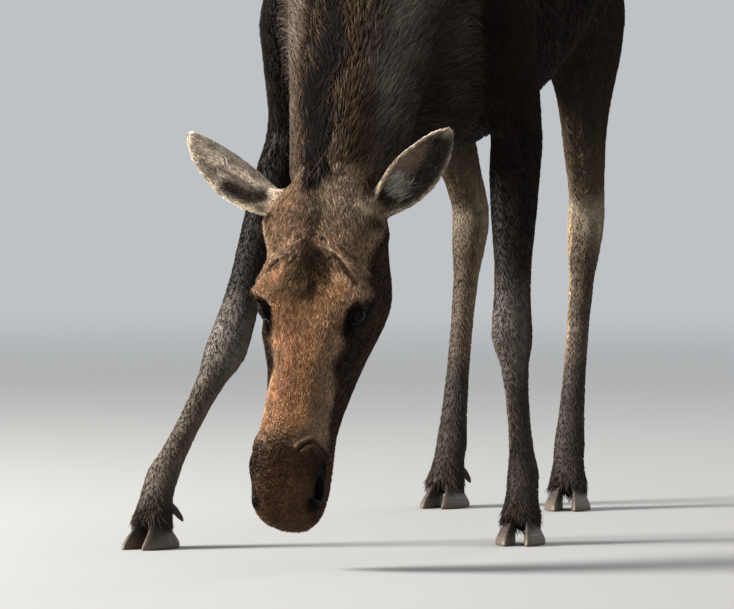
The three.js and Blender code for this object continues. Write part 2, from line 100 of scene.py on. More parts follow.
def to_line(points, line):
    """How far each point is from a line through a few places."""
    best = np.full(len(points), np.inf)
    for start, end in zip(line[:-1], line[1:]):
        way = end - start
        share = np.clip((points - start) @ way / max(way @ way, 1e-12), 0, 1)
        best = np.minimum(best, np.linalg.norm(points - start - share[:, None] * way, axis=1))
    return best


# %% Meshes to arrays and back
def arrays_of(mesh):
    """The corners and the triangles of a mesh."""
    points = np.empty(3 * len(mesh.vertices), np.float32)
    mesh.vertices.foreach_get("co", points)
    mesh.calc_loop_triangles()
    triangles = np.empty(3 * len(mesh.loop_triangles), np.int32)
    mesh.loop_triangles.foreach_get("vertices", triangles)
    return points.reshape(-1, 3).astype(float), triangles.reshape(-1, 3)


def mesh_of(name, points, triangles, smooth=True):
    """A mesh made of these corners and triangles."""
    mesh = bpy.data.meshes.new(name)
    mesh.vertices.add(len(points))
    mesh.vertices.foreach_set("co", np.ascontiguousarray(points, np.float32).ravel())
    mesh.loops.add(3 * len(triangles))
    mesh.loops.foreach_set("vertex_index", np.ascontiguousarray(triangles, np.int32).ravel())
    mesh.polygons.add(len(triangles))
    mesh.polygons.foreach_set("loop_start", np.arange(0, 3 * len(triangles), 3, dtype=np.int32))
    mesh.polygons.foreach_set("use_smooth", np.full(len(triangles), smooth))
    mesh.update(calc_edges=True)
    return mesh


def piece_of(name, mesh):
    """An object in the scene that shows this mesh."""
    piece = bpy.data.objects.new(name, mesh)
    bpy.context.scene.collection.objects.link(piece)
    return piece


def with_modifiers(piece):
    """The mesh that a piece shows once its modifiers have run."""
    return bpy.data.meshes.new_from_object(piece.evaluated_get(bpy.context.evaluated_depsgraph_get()))


# %% Neighbours, evening out, and the direction that a surface faces
def neighbours_of(count, triangles):
    """Each corner's neighbours in one long list, where each corner's run starts, and how long it is."""
    start = np.concatenate([triangles[:, i] for i in (0, 1, 2, 1, 2, 0)]).astype(np.int64)
    end = np.concatenate([triangles[:, i] for i in (1, 2, 0, 0, 1, 2)])
    start, end = np.divmod(np.unique(start * count + end), count)
    return end, np.searchsorted(start, np.arange(count)), np.bincount(start, minlength=count)


def evened(values, near, rounds, strength=0.5):
    """Values at the corners, each moved towards the mean of its neighbours a few times."""
    ends, starts, degree = near
    degree = degree.reshape(-1, *[1] * (values.ndim - 1))
    for _ in range(rounds):
        mean = np.add.reduceat(values[ends], starts, axis=0) / degree
        values = values + (mean - values) * strength
    return values


def normals_of(points, triangles):
    """The direction that the surface faces at each corner."""
    a, b, c = (points[triangles[:, i]] for i in range(3))
    faces = np.cross(b - a, c - a)
    total = np.zeros_like(points)
    for i in range(3):
        for k in range(3):
            total[:, k] += np.bincount(triangles[:, i], faces[:, k], len(points))
    return unit(total)


# %% [markdown]
# ## Landmarks
# A taxidermist works from landmarks: the eyes, the poll between the ears, the joints. Here the eyes are
# read from the solids, and the poll is placed from them. The head gets directions of its own, so that a
# fold of skin can be placed by how far along the head it lies, how far out from the middle, and how far
# in front of the forehead.

# %% The head's own directions
HEAD_PITCH = math.radians(22)  # the nose stands this far forward of straight down
EYE_ALONG, EYE_DEEP, EYE_RADIUS = 0.257, 0.053, 0.020


def centre_of(name):
    low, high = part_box(name)
    return (np.array(low) + np.array(high)) / 2


EYES = {side: centre_of(f"eye_{side}") for side in ("left", "right")}
ACROSS = unit(EYES["left"] - EYES["right"])
FACE = np.array([0, -math.cos(HEAD_PITCH), math.sin(HEAD_PITCH)])
ALONG = unit(np.cross(ACROSS, FACE))
HEAD_AXES = np.stack([ALONG, ACROSS, FACE])
POLL = (EYES["left"] + EYES["right"]) / 2 - ALONG * EYE_ALONG + FACE * EYE_DEEP


def in_head(points):
    """Along the head from the poll, out to the animal's left, and in front of the forehead."""
    return (points - POLL) @ HEAD_AXES.T


def on_head(places):
    """The points at these places of the head."""
    return POLL + np.asarray(places, float) @ HEAD_AXES


print("poll:", POLL.round(3), "eyes:", {side: eye.round(3) for side, eye in EYES.items()})

# %% [markdown]
# ## The skin
# The solids are separate pieces with flat faces. A sculptor would cover them with one coat of clay, and
# Blender's Remesh modifier does that: it fills a grid of small cubes and wraps one surface round all
# that is full. The eyes are filled in too, and the lids are shaped later. Then the surface is evened:
# strongly on the big round trunk and neck, a little on the legs, and hardly at all on the thin ears.

# %% Wrap all the flesh in one surface
FLESH = ["trunk", "neck", "head", "ear_left", "ear_right", "foreleg_left", "foreleg_right",
         "hindleg_left", "hindleg_right", "tail", "bell"]
CLAY_CUBE = 0.005
EAR_GROWS_BACK = 0.0012  # rounding draws a thin leaf in by about this much


def joined(parts):
    """Several (corners, triangles) pairs as one."""
    offsets = np.cumsum([0] + [len(points) for points, _ in parts])
    return (np.concatenate([points for points, _ in parts]),
            np.concatenate([triangles + offset for (_, triangles), offset in zip(parts, offsets)]))


def largest_island(points, triangles):
    """Only the biggest connected surface."""
    label = np.arange(len(points))
    start, end = triangles.ravel(), np.roll(triangles, -1, axis=1).ravel()
    while True:
        low = np.minimum(label[start], label[end])
        lower = label.copy()
        np.minimum.at(lower, start, low)
        np.minimum.at(lower, end, low)
        lower = lower[lower]
        if (lower == label).all():
            break
        label = lower
    keep = label == np.bincount(label).argmax()
    number = np.cumsum(keep) - 1
    return points[keep], number[triangles[keep[triangles[:, 0]]]]


def welded(points, triangles):
    """The same surface with one corner where several lie together."""
    _, first, number = np.unique(points.round(5), axis=0, return_index=True, return_inverse=True)
    return points[first], number.reshape(-1)[triangles]


def rounded_ear(name):
    """An ear with the flat faces of its solid rounded off."""
    ear = piece_of(f"{name}_rounded", mesh_of(name, *welded(*arrays_of(nodes[name].data))))
    rounding = ear.modifiers.new("rounding", "SUBSURF")
    rounding.levels = 2
    points, triangles = arrays_of(with_modifiers(ear))
    bpy.data.objects.remove(ear)
    return points + EAR_GROWS_BACK * normals_of(points, triangles), triangles


solid = [rounded_ear(name) if name.startswith("ear") else arrays_of(nodes[name].data)
         for name in FLESH + ["eye_left", "eye_right"]]
clay = piece_of("clay", mesh_of("clay", *joined(solid)))
wrap = clay.modifiers.new("wrap", "REMESH")
wrap.mode = "VOXEL"
wrap.voxel_size = CLAY_CUBE
skin_points, skin_triangles = arrays_of(with_modifiers(clay))
bpy.data.objects.remove(clay)
print("clay:", len(skin_points), "corners,", len(skin_triangles), "triangles")

# %% Where the surface is broad, and where it needs to stay fine
EAR_TIPS = {side: None for side in EYES}
for side in EYES:
    ear_points, _ = arrays_of(nodes[f"ear_{side}"].data)
    reach = np.linalg.norm(ear_points - EYES[side], axis=1)
    EAR_TIPS[side] = ear_points[reach.argmax()]
EAR_ROOTS = {side: on_head([0.026, sign * 0.094, -0.066]) for side, sign in (("left", 1), ("right", -1))}


def ear_nearness(points, reach=0.095):
    """1 on the ears, fading out at their roots."""
    near = [to_line(points, [EAR_ROOTS[side], EAR_TIPS[side]]) for side in EYES]
    return 1 - soft_step(np.minimum(*near), reach, reach + 0.03)


def head_nearness(points):
    """1 on the head in front of the neck."""
    along, out, face = in_head(points).T
    radius = np.hypot(out, face + 0.11)
    return soft_step(along, -0.05, 0.0) * (1 - soft_step(radius, 0.20, 0.24)) * (along < 0.75)


head_share = np.maximum(head_nearness(skin_points), ear_nearness(skin_points))
height = skin_points[:, 2]
broad_share = soft_step(height, 0.80, 0.98) * (1 - head_share) * soft_step(skin_points[:, 1], -0.85, -0.72)
print("ear tips:", {side: tip.round(3) for side, tip in EAR_TIPS.items()})

# %% Even it out, and thin the triangles where the surface is plain
GRADES = 6  # a vertex group takes one weight at a time, so the shares are set in this many grades


def weigh(piece, name, shares):
    """A vertex group with these weights."""
    group = piece.vertex_groups.new(name=name)
    grades = np.rint(shares * GRADES).astype(int)
    for grade in range(1, GRADES + 1):
        group.add(np.flatnonzero(grades == grade).tolist(), grade / GRADES, "REPLACE")
    return name


clay = piece_of("clay", mesh_of("clay", skin_points, skin_triangles))
for name, shares, rounds, factor in [
    ("broad", broad_share, 90, 0.6),
    ("limbs", 1 - head_share, 10, 0.5),
    ("head", 1 - 0.6 * ear_nearness(skin_points, 0.07), 7, 0.5),
]:
    evening = clay.modifiers.new(name, "SMOOTH")
    evening.vertex_group = weigh(clay, name, shares)
    evening.iterations = rounds
    evening.factor = factor
_, _, face_side = in_head(skin_points).T
fine_share = np.where((head_share > 0.3) & ((face_side > -0.17) | (ear_nearness(skin_points) > 0.3)), 1, 0)
thin = (1 - fine_share)[:, None] * np.stack([height > 0.85, height <= 0.85], axis=1)
left = 1.0
for name, kept, shares in zip(("thin_trunk", "thin_legs"), (0.09, 0.19), thin.T):
    thinning = clay.modifiers.new(name, "DECIMATE")
    thinning.vertex_group = weigh(clay, name, shares)
    thinning.ratio = 1 - (1 - kept) * shares.mean() / left  # it counts all triangles, also those left alone
    left *= thinning.ratio
skin_points, skin_triangles = largest_island(*arrays_of(with_modifiers(clay)))
bpy.data.objects.remove(clay)
print("skin:", len(skin_points), "corners,", len(skin_triangles), "triangles")

# %% [markdown]
# ## Finer triangles for the face
# Lids, nostrils and the folds of the brow are a few millimetres wide, so the skin needs smaller
# triangles there. Each chosen triangle is split in four, and its neighbours are split to match, so the
# surface stays closed.

# %% Split the chosen triangles
def refined(points, triangles, chosen):
    """Each chosen triangle in four, with its neighbours in two or three where they share a split edge."""
    edges = np.sort(np.stack([triangles, np.roll(triangles, -1, axis=1)], axis=-1), axis=-1).astype(np.int64)
    keys, which = np.unique(edges[..., 0] * len(points) + edges[..., 1], return_inverse=True)
    which = which.reshape(-1, 3)
    split = np.zeros(len(keys), bool)
    split[which[chosen].ravel()] = True
    middle_of = np.full(len(keys), -1)
    middle_of[split] = len(points) + np.arange(split.sum())
    ends = np.stack(np.divmod(keys[split], len(points)), axis=1)
    points = np.concatenate([points, points[ends].mean(axis=1)])
    middles = middle_of[which]
    count = (middles >= 0).sum(axis=1)
    made = [triangles[count == 0]]
    corner, middle = triangles[count == 3], middles[count == 3]
    for i in range(3):
        made.append(np.stack([corner[:, i], middle[:, i], middle[:, i - 1]], axis=1))
    made.append(middle)
    for splits in (1, 2):
        # Turned so that the first edge is split and the last one is whole.
        rows = np.flatnonzero(count == splits)
        whole = middles[rows] < 0
        first = np.argmax(~whole & np.roll(whole, 1, axis=1), axis=1)
        turn = (first[:, None] + np.arange(3)) % 3
        (a, b, c), (ab, bc, _) = (np.take_along_axis(x[rows], turn, axis=1).T for x in (triangles, middles))
        if splits == 1:
            made += [np.stack([a, ab, c], axis=1), np.stack([ab, b, c], axis=1)]
        else:
            made += [np.stack([ab, b, bc], axis=1), np.stack([a, ab, bc], axis=1),
                     np.stack([a, bc, c], axis=1)]
    return points, np.concatenate(made)


NOSTRILS = {side: on_head([0.626, sign * 0.072, -0.045]) for side, sign in (("left", 1), ("right", -1))}


def nearest_of(points, places):
    """The distance from each point to the nearest of the places."""
    return np.min([np.linalg.norm(points - place, axis=1) for place in places.values()], axis=0)


along, out, face = in_head(skin_points[skin_triangles].mean(axis=1)).T
brow = (along > 0.11) & (along < 0.33) & (face > -0.095)
muzzle = (along > 0.515) & (face > -0.14)
skin_points, skin_triangles = refined(skin_points, skin_triangles, (brow | muzzle) & (np.abs(out) < 0.14))
middles = skin_points[skin_triangles].mean(axis=1)
detailed = (nearest_of(middles, EYES) < 0.036) | (nearest_of(middles, NOSTRILS) < 0.036)
skin_points, skin_triangles = refined(skin_points, skin_triangles, detailed)
face_share = head_nearness(skin_points)[:, None]
near = neighbours_of(len(skin_points), skin_triangles)
skin_points = skin_points + (evened(skin_points, near, 4) - skin_points) * face_share
print("skin with a fine face:", len(skin_points), "corners,", len(skin_triangles), "triangles")

# %% [markdown]
# ## Which part of the body each bit of skin belongs to
# Every corner takes the nearest solid as its own, and then the borders are blurred. The result is a
# share of each part at each corner, and it steers everything that changes gradually over the body: the
# depth of the coat, the way the hair lies, and its colour.

# %% Shares of the parts
solid_points, solid_triangles = joined([arrays_of(nodes[name].data) for name in FLESH])
solid_owner = np.concatenate([np.full(len(arrays_of(nodes[name].data)[1]), i)
                              for i, name in enumerate(FLESH)])
solid_tree = BVHTree.FromPolygons(solid_points.tolist(), solid_triangles.tolist())
nearest_faces = [solid_tree.find_nearest(point)[2] for point in skin_points.tolist()]
part_shares = np.eye(len(FLESH))[solid_owner[nearest_faces]]
part_shares = evened(part_shares, near, 14)


def share_of(*names, shares=None):
    """How much of each corner belongs to the parts whose names start like this."""
    shares = part_shares if shares is None else shares
    return sum(shares[:, i] for i, name in enumerate(FLESH) if name.startswith(names))


print("area shares:", {name: round(float(part_shares[:, i].mean()), 3) for i, name in enumerate(FLESH)})

# %% [markdown]
# ## The depth of the coat
# The solids reach to the tips of the hair, so the skin lies deeper: only a little on the face, ears and
# lower legs, and deepest on the neck with its mane and on the hump.

# %% Draw the skin in by the depth of the coat
COAT_DEPTH = {"trunk": 0.006, "neck": 0.007, "head": 0.0018, "ear_left": 0.0012, "ear_right": 0.0012,
              "foreleg_left": 0.0025, "foreleg_right": 0.0025, "hindleg_left": 0.0025,
              "hindleg_right": 0.0025, "tail": 0.006, "bell": 0.006}
depth = part_shares @ np.array([COAT_DEPTH[name] for name in FLESH])
upper_leg = share_of("foreleg", "hindleg") * soft_step(skin_points[:, 2], 0.70, 1.0)
depth = depth + upper_leg * (COAT_DEPTH["trunk"] - COAT_DEPTH["foreleg_left"])
normals = normals_of(skin_points, skin_triangles)
skin_points = skin_points - depth[:, None] * evened(normals, near, 2)
print("coat depth:", depth.min().round(4), "to", depth.max().round(4))

# %% Let the skin of the feet come down over the tops of the hooves
for name in FLESH:
    if "leg" in name:
        foot = share_of(name) * (1 - soft_step(skin_points[:, 2], 0.060, 0.115))
        low = foot > 0.3
        centre = skin_points[low].mean(axis=0)
        spread = (skin_points - centre) * [0.12, 0.12, 0] + [0, 0, -0.008]
        skin_points = skin_points + foot[:, None] * spread
print("feet reach down to", skin_points[:, 2].min().round(3))

# %% [markdown]
# ## Folds of the face
# The frown of this animal is two ridges of loose skin that run from the middle of the forehead down to
# the eyes, with a crease under each. Every fold here is a line through a few places on one side of the
# head, laid onto the skin and mirrored. Skin near the line is pushed out or in along a soft bump.

# %% Lay a fold on the skin
MIRROR = {"left": np.array([1, 1, 1]), "right": np.array([1, -1, 1])}
BOTH, LEFT, RIGHT = ("left", "right"), ("left",), ("right",)


def tree_of(points, triangles):
    return BVHTree.FromPolygons(points.tolist(), triangles.tolist())


def mirrored(places, name):
    """Places of the left side of the head, on the side with this name."""
    return np.array(places, float) * MIRROR[name]


def laid_on_skin(places, tree, pieces=4):
    """A line through places of the head, with each bit moved to the nearest skin."""
    line = on_head(places)
    steps = np.linspace(0, len(line) - 1, pieces * (len(line) - 1) + 1)
    line = np.stack([np.interp(steps, np.arange(len(line)), line[:, k]) for k in range(3)], axis=1)
    return np.array([tree.find_nearest(point)[0] for point in line.tolist()])


def folded(points, triangles, folds):
    """The skin with these folds: each is (places, height, width, sides)."""
    tree = tree_of(points, triangles)
    normals = normals_of(points, triangles)
    close = np.flatnonzero(head_nearness(points) > 0.01)
    push = np.zeros(len(points))
    for places, height, width, sides in folds:
        lines = [laid_on_skin(mirrored(places, name), tree) for name in sides]
        distance = np.min([to_line(points[close], line) for line in lines], axis=0)
        push[close] += height * soft_bump(distance, width)
    return points + push[:, None] * normals


# The frown is not the same on both sides: on the left it is one long crease under a narrow ridge, on
# the right a broad ridge with a crack in it and a short crease further in.
RIDGE_LEFT = [(0.128, 0.006, 0.002), (0.136, 0.022, 0.001), (0.142, 0.033, -0.001), (0.150, 0.049, -0.004),
              (0.160, 0.066, -0.010), (0.169, 0.082, -0.019), (0.174, 0.099, -0.036), (0.186, 0.112, -0.060)]
CREASE_LEFT = [(0.153, 0.046, -0.004), (0.162, 0.058, -0.008), (0.178, 0.070, -0.013), (0.191, 0.081, -0.017),
               (0.207, 0.095, -0.019)]
WRINKLE_LEFT = [(0.135, 0.056, -0.004), (0.147, 0.072, -0.011), (0.163, 0.088, -0.024)]
RIDGE_RIGHT = [(0.128, 0.034, 0.001), (0.136, 0.048, -0.002), (0.148, 0.062, -0.008), (0.159, 0.075, -0.014),
               (0.168, 0.092, -0.027), (0.182, 0.106, -0.045), (0.200, 0.114, -0.058)]
CRACK_RIGHT = [(0.165, 0.073, -0.014), (0.172, 0.083, -0.019), (0.180, 0.093, -0.026)]
CREASE_RIGHT = [(0.158, 0.034, -0.004), (0.166, 0.038, -0.005), (0.172, 0.044, -0.006),
                (0.179, 0.054, -0.008)]
TEAR = [(0.279, 0.088, -0.046), (0.293, 0.083, -0.046), (0.306, 0.079, -0.049)]
ARCH_LEFT = [(0.559, 0.026, 0.003), (0.548, 0.034, 0.001), (0.539, 0.045, -0.006), (0.528, 0.054, -0.015),
             (0.531, 0.061, -0.023), (0.539, 0.068, -0.032), (0.549, 0.074, -0.045), (0.562, 0.077, -0.064)]
ARCH_RIGHT = [(0.552, 0.036, -0.001), (0.540, 0.048, -0.008), (0.533, 0.059, -0.020), (0.539, 0.068, -0.032),
              (0.549, 0.074, -0.045), (0.562, 0.077, -0.064)]
INSIDE_ARCH = [(0.566, 0.032, 0.003), (0.556, 0.039, 0.000), (0.547, 0.047, -0.006), (0.540, 0.054, -0.014),
               (0.543, 0.060, -0.023), (0.552, 0.067, -0.034), (0.562, 0.073, -0.046)]
MOUTH = [(0.500, 0.068, -0.142), (0.540, 0.072, -0.132), (0.590, 0.073, -0.124), (0.640, 0.064, -0.120),
         (0.676, 0.040, -0.118), (0.690, 0.000, -0.116)]
FOLDS = [
    (RIDGE_LEFT, 0.0058, 0.0050, LEFT),
    (CREASE_LEFT, -0.0100, 0.0032, LEFT),
    ([(0.140, 0.022, 0.000), (0.148, 0.036, -0.002), (0.153, 0.046, -0.004)], -0.0036, 0.0040, LEFT),
    (WRINKLE_LEFT, -0.0024, 0.0028, LEFT),
    (RIDGE_RIGHT, 0.0064, 0.0056, RIGHT),
    (CRACK_RIGHT, -0.0066, 0.0026, RIGHT),
    (CREASE_RIGHT, -0.0060, 0.0028, RIGHT),
    ([(0.160, 0.054, -0.008), (0.176, 0.072, -0.014), (0.194, 0.092, -0.022)], -0.0034, 0.0052, RIGHT),
    # A swelling of the brow over the eye, the rim of bone beside it, and the fold over the upper lid.
    ([(0.205, 0.060, -0.010), (0.218, 0.086, -0.014), (0.236, 0.104, -0.028)], 0.0040, 0.0110, BOTH),
    ([(0.190, 0.116, -0.060), (0.208, 0.119, -0.054), (0.228, 0.117, -0.046), (0.240, 0.110, -0.034)],
     0.0040, 0.0085, BOTH),
    ([(0.262, 0.080, -0.026), (0.252, 0.089, -0.025), (0.243, 0.101, -0.024), (0.235, 0.116, -0.033)],
     -0.0034, 0.0030, BOTH),
    (TEAR, -0.0046, 0.0034, BOTH),
    # The arch over each nostril, the groove inside it, and the full wing of the nostril.
    (ARCH_LEFT, 0.0034, 0.0026, LEFT),
    (ARCH_RIGHT, 0.0040, 0.0042, RIGHT),
    (INSIDE_ARCH, -0.0046, 0.0036, LEFT),
    (INSIDE_ARCH[2:], -0.0052, 0.0038, RIGHT),
    ([(0.562, 0.044, -0.003), (0.571, 0.055, -0.011), (0.582, 0.066, -0.021)], 0.0075, 0.0110, LEFT),
    ([(0.566, 0.052, -0.010), (0.582, 0.064, -0.019)], 0.0045, 0.0110, RIGHT),
    ([(0.545, 0.055, -0.013), (0.560, 0.060, -0.016), (0.583, 0.060, -0.016), (0.608, 0.057, -0.018)],
     0.0026, 0.0028, RIGHT),
    # Flat wrinkles across the upper lip.
    ([(0.600, 0.000, 0.000), (0.604, 0.030, -0.002)], -0.0012, 0.0030, BOTH),
    ([(0.622, 0.000, -0.004), (0.628, 0.034, -0.008)], -0.0012, 0.0030, BOTH),
    # The slit behind the nostril, and the fold from the nostril down to the lip.
    ([(0.588, 0.079, -0.052), (0.574, 0.081, -0.062), (0.566, 0.081, -0.076)], -0.0060, 0.0042, BOTH),
    ([(0.640, 0.066, -0.048), (0.655, 0.060, -0.044), (0.668, 0.050, -0.040)], -0.0045, 0.0050, BOTH),
    (MOUTH, -0.0060, 0.0042, BOTH),
    # Two soft folds at the cheek, where the jaw moves.
    ([(0.400, 0.074, -0.110), (0.440, 0.070, -0.135)], -0.0020, 0.0080, BOTH),
    ([(0.300, 0.094, -0.090), (0.345, 0.090, -0.078), (0.400, 0.078, -0.070)], 0.0030, 0.0120, BOTH),
]
skin_points = folded(skin_points, skin_triangles, FOLDS)
print("folds:", len(FOLDS))

# %% [markdown]
# ## Lids and nostrils
# The surface was wrapped right over the eyeballs, so a lid is only a matter of distance: inside an
# almond round the gaze the skin sinks behind the eyeball, and just outside it the skin stands a lid's
# thickness in front of it. The nostrils are pits with a raised rim, made in the same way.

# %% Shape the lids round the eyeballs
SIDES = {"left": 1, "right": -1}
LID_REACH = {"long": math.radians(66), "high": math.radians(45), "low": math.radians(44)}
LID_TILT = math.radians(20)
LID_THICKNESS = 0.0024


def eye_axes(side):
    """Where the eye looks, towards its front corner, and up across the lids."""
    gaze = unit(0.40 * ALONG + 0.82 * ACROSS * SIDES[side] + 0.42 * FACE)
    front = flattened(ALONG * math.cos(LID_TILT) + FACE * math.sin(LID_TILT), gaze)
    top = flattened(FACE - (FACE @ front) * front, gaze)
    return gaze, front, top


def almond(points, side):
    """Distance and direction from the eye's centre, and 1 on the edge of the lids, less inside them."""
    gaze, front, top = eye_axes(side)
    way = points - EYES[side]
    far = np.linalg.norm(way, axis=1)
    aim = way / far[:, None]
    turn = np.arccos(np.clip(aim @ gaze, -1, 1))
    spread = turn / np.maximum(np.sin(turn), 1e-6)
    x, y = spread * (aim @ front), spread * (aim @ top)
    tall = np.where(y > 0, LID_REACH["high"], LID_REACH["low"])
    edge = (np.abs(x / LID_REACH["long"]) ** 1.8 + np.abs(y / tall) ** 1.8) ** (1 / 1.8)
    return far, turn, x, y, edge


def with_lids(points):
    """The skin with lids round both eyeballs."""
    points = points.copy()
    rim = EYE_RADIUS + LID_THICKNESS
    for side in SIDES:
        gaze, front, top = eye_axes(side)
        close = np.flatnonzero(np.linalg.norm(points - EYES[side], axis=1) < 2.3 * EYE_RADIUS)
        far, turn, x, y, edge = almond(points[close], side)
        # Corners near the edge of the lids are drawn onto it, so that the rim is a clean line.
        drawn = np.where(np.abs(edge - 1) < 0.12, 1 + (edge - 1) * np.abs(edge - 1) / 0.12, edge)
        scale = drawn / np.maximum(edge, 1e-6)
        turn = np.hypot(x * scale, y * scale)
        sideways = (x[:, None] * front + y[:, None] * top) / np.maximum(np.hypot(x, y), 1e-9)[:, None]
        aim = np.cos(turn)[:, None] * gaze + np.sin(turn)[:, None] * sideways
        outside = rim + (np.maximum(far, rim) - rim) * soft_step(drawn, 1.10, 1.75)
        upper = soft_step(y, 0, 0.3)
        crease = 0.0010 * soft_bump(drawn - 1.26, 0.10) - 0.0022 * soft_bump(drawn - 1.50, 0.09)
        outside += upper * crease - (1 - upper) * 0.0010 * soft_bump(drawn - 1.42, 0.08)
        inside = 0.86 * EYE_RADIUS
        radius = inside + (outside - inside) * soft_step(drawn, 0.98, 1.06)
        moved = EYES[side] + radius[:, None] * aim
        share = (1 - soft_step(far, 1.5 * EYE_RADIUS, 2.2 * EYE_RADIUS)) * (1 - soft_step(turn, 1.6, 2.1))
        points[close] += (moved - points[close]) * share[:, None]
    return points


skin_points = with_lids(skin_points)
print("lids:", round(2000 * EYE_RADIUS * math.sin(LID_REACH["long"])), "mm long")

# %% Sink the nostrils
NOSTRIL = {"half_along": 0.030, "half_across": 0.0185, "depth": 0.026, "rim": 0.0014}


def nostril_edge(points, side):
    """1 on the edge of the nostril, less inside it, and the way into the head there."""
    into = -unit(ACROSS * SIDES[side] * 0.80 + FACE * 0.60)
    lengthwise = unit(flattened(ALONG + 0.16 * ACROSS * SIDES[side] - 0.50 * FACE, into))
    way = points - NOSTRILS[side]
    share = way @ lengthwise / NOSTRIL["half_along"]
    narrow = 1 - 0.45 * soft_step(-share, -0.2, 1.0)  # a drop with its point up
    edge = np.hypot(share, way @ np.cross(into, lengthwise) / (NOSTRIL["half_across"] * narrow))
    return np.where(way @ into < 0.03, edge, 9.0), into, way @ lengthwise


for side in SIDES:
    edge, into, lengthwise = nostril_edge(skin_points, side)
    pit = NOSTRIL["depth"] * (1 - soft_step(edge, 0.35, 1.02))
    rim = NOSTRIL["rim"] * soft_bump(edge - 1.28, 0.16) * soft_step(-lengthwise, -0.016, 0.008)
    skin_points = skin_points + (pit - rim)[:, None] * into
print("nostrils:", {side: place.round(3) for side, place in NOSTRILS.items()})

# %% [markdown]
# ## How the hair lies
# Hair never stands straight up from the skin: on the face it lies from the nose towards the poll, on the
# neck and trunk backwards, and down on the legs. Each part has one main direction, the shares of the
# parts blend them, and the result is laid flat on the skin. The tufts use it.

# %% The direction and the length of the hair at each corner
DOWN, BACK = np.array([0.0, 0.0, -1.0]), np.array([0.0, 1.0, 0.0])
WITHERS = np.array([0.0, -0.34, 1.50])
NECK_LINE = unit(WITHERS - POLL)

normals = evened(normals_of(skin_points, skin_triangles), near, 1)
along, out, face = in_head(skin_points).T
side = np.tanh(out / 0.02)
on_head_share, on_ear = share_of("head"), share_of("ear")
on_neck, on_trunk, on_leg = share_of("neck"), share_of("trunk"), share_of("foreleg", "hindleg")


def scaled(direction, amount):
    """One direction for every corner, with an amount for each."""
    return amount[:, None] * direction


brow = soft_bump(along - 0.15, 0.08) * soft_step(face, -0.08, -0.02)
face_lie = (-ALONG - scaled(ACROSS, 0.75 * brow * side)
            - scaled(FACE, 0.3 * (1 - soft_step(face, -0.12, -0.03))))
over_top = soft_step(normals[:, 2], 0.2, 0.9)
neck_lie = NECK_LINE + scaled(ACROSS, 0.40 * np.tanh(out / 0.06)) + scaled(DOWN, 0.25 * (1 - over_top))
# High on the front of the withers the hair still runs up and back, and lower down it runs down the chest.
crest = soft_step(skin_points[:, 2], 1.20, 1.45) * soft_step(-normals[:, 1], 0.0, 0.4)
trunk_lie = BACK + scaled(DOWN, 1.1 * (1 - over_top) * (1 - crest)) + scaled(NECK_LINE, 1.2 * crest)
trunk_lie += scaled(DOWN, soft_step(-normals[:, 1], 0.3, 0.8) * (1 - crest))
ear_lie = np.zeros_like(skin_points)
for name in EYES:
    here = share_of(f"ear_{name}")
    ear_lie += scaled(unit(EAR_TIPS[name] - EAR_ROOTS[name]), here)
lie = (scaled(1, on_head_share) * face_lie + scaled(1, on_neck) * neck_lie + 2 * ear_lie
       + scaled(1, on_trunk) * trunk_lie + scaled(DOWN + 0.15 * BACK, on_leg + share_of("tail", "bell")))
lie = flattened(evened(flattened(lie, normals), near, 8), normals)

UP_LEG = soft_step(skin_points[:, 2], 0.62, 1.0)
hair_length = part_shares @ np.array([0.032, 0.036, 0.0092, 0.010, 0.010, 0.011, 0.011, 0.011, 0.011,
                                      0.045, 0.050])
hair_length += on_leg * UP_LEG * 0.012
hair_length += on_leg * 0.016 * (1 - soft_step(skin_points[:, 2], 0.060, 0.120))
hair_length += (on_trunk * 0.014 * soft_step(skin_points[:, 2], 1.30, 1.50)
                * soft_step(-skin_points[:, 1], 0.1, 0.3))
hair_length += on_head_share * 0.010 * soft_step(-face, 0.10, 0.20) * (1 - soft_step(along, 0.25, 0.40))
hair_length -= on_head_share * 0.0050 * soft_step(along, 0.42, 0.56)
hair_length += on_head_share * 0.0045 * (1 - soft_step(along, 0.02, 0.11))
hair_length -= on_head_share * 0.0040 * (1 - soft_step(nearest_of(skin_points, EYES), 0.024, 0.045))


def head_spot(places, size, edge=0.5, sides=BOTH):
    """1 close to a line through places of the head, with a soft edge."""
    lines = [on_head(mirrored(places, name)) for name in sides]
    distance = np.min([to_line(skin_points, [*line, line[-1]]) for line in lines], axis=0)
    return 1 - soft_step(distance, size * (1 - edge), size * (1 + edge))


in_crease = np.max([head_spot(CREASE_LEFT, 0.0100, 0.5, LEFT), head_spot(CRACK_RIGHT, 0.0060, 0.5, RIGHT),
                    head_spot(CREASE_RIGHT, 0.0060, 0.5, RIGHT), head_spot(ARCH_LEFT, 0.0075, 0.7, LEFT),
                    head_spot(INSIDE_ARCH, 0.0060, 0.7)], axis=0)
hair_length *= 1 - 0.62 * in_crease * on_head_share
print("hair:", (hair_length.min() * 1000).round(1), "to", (hair_length.max() * 1000).round(1), "mm")

# %% [markdown]
# ## The markings
# A cow moose in her dark summer coat is black-brown on the trunk, browner on the neck and face, and
# greyish on the legs. Fur mixes two colours hair by hair, so every place gets a dark colour, a light
# colour and the share of light hairs. The marks are painted one over the other, each with a soft edge.

# %% Colours and soft noise
def colour(code):
    """Linear red, green and blue from a hexadecimal colour."""
    value = np.array([int(code[i:i + 2], 16) for i in (0, 2, 4)]) / 255
    return np.where(value <= 0.04045, value / 12.92, ((value + 0.055) / 1.055) ** 2.4)


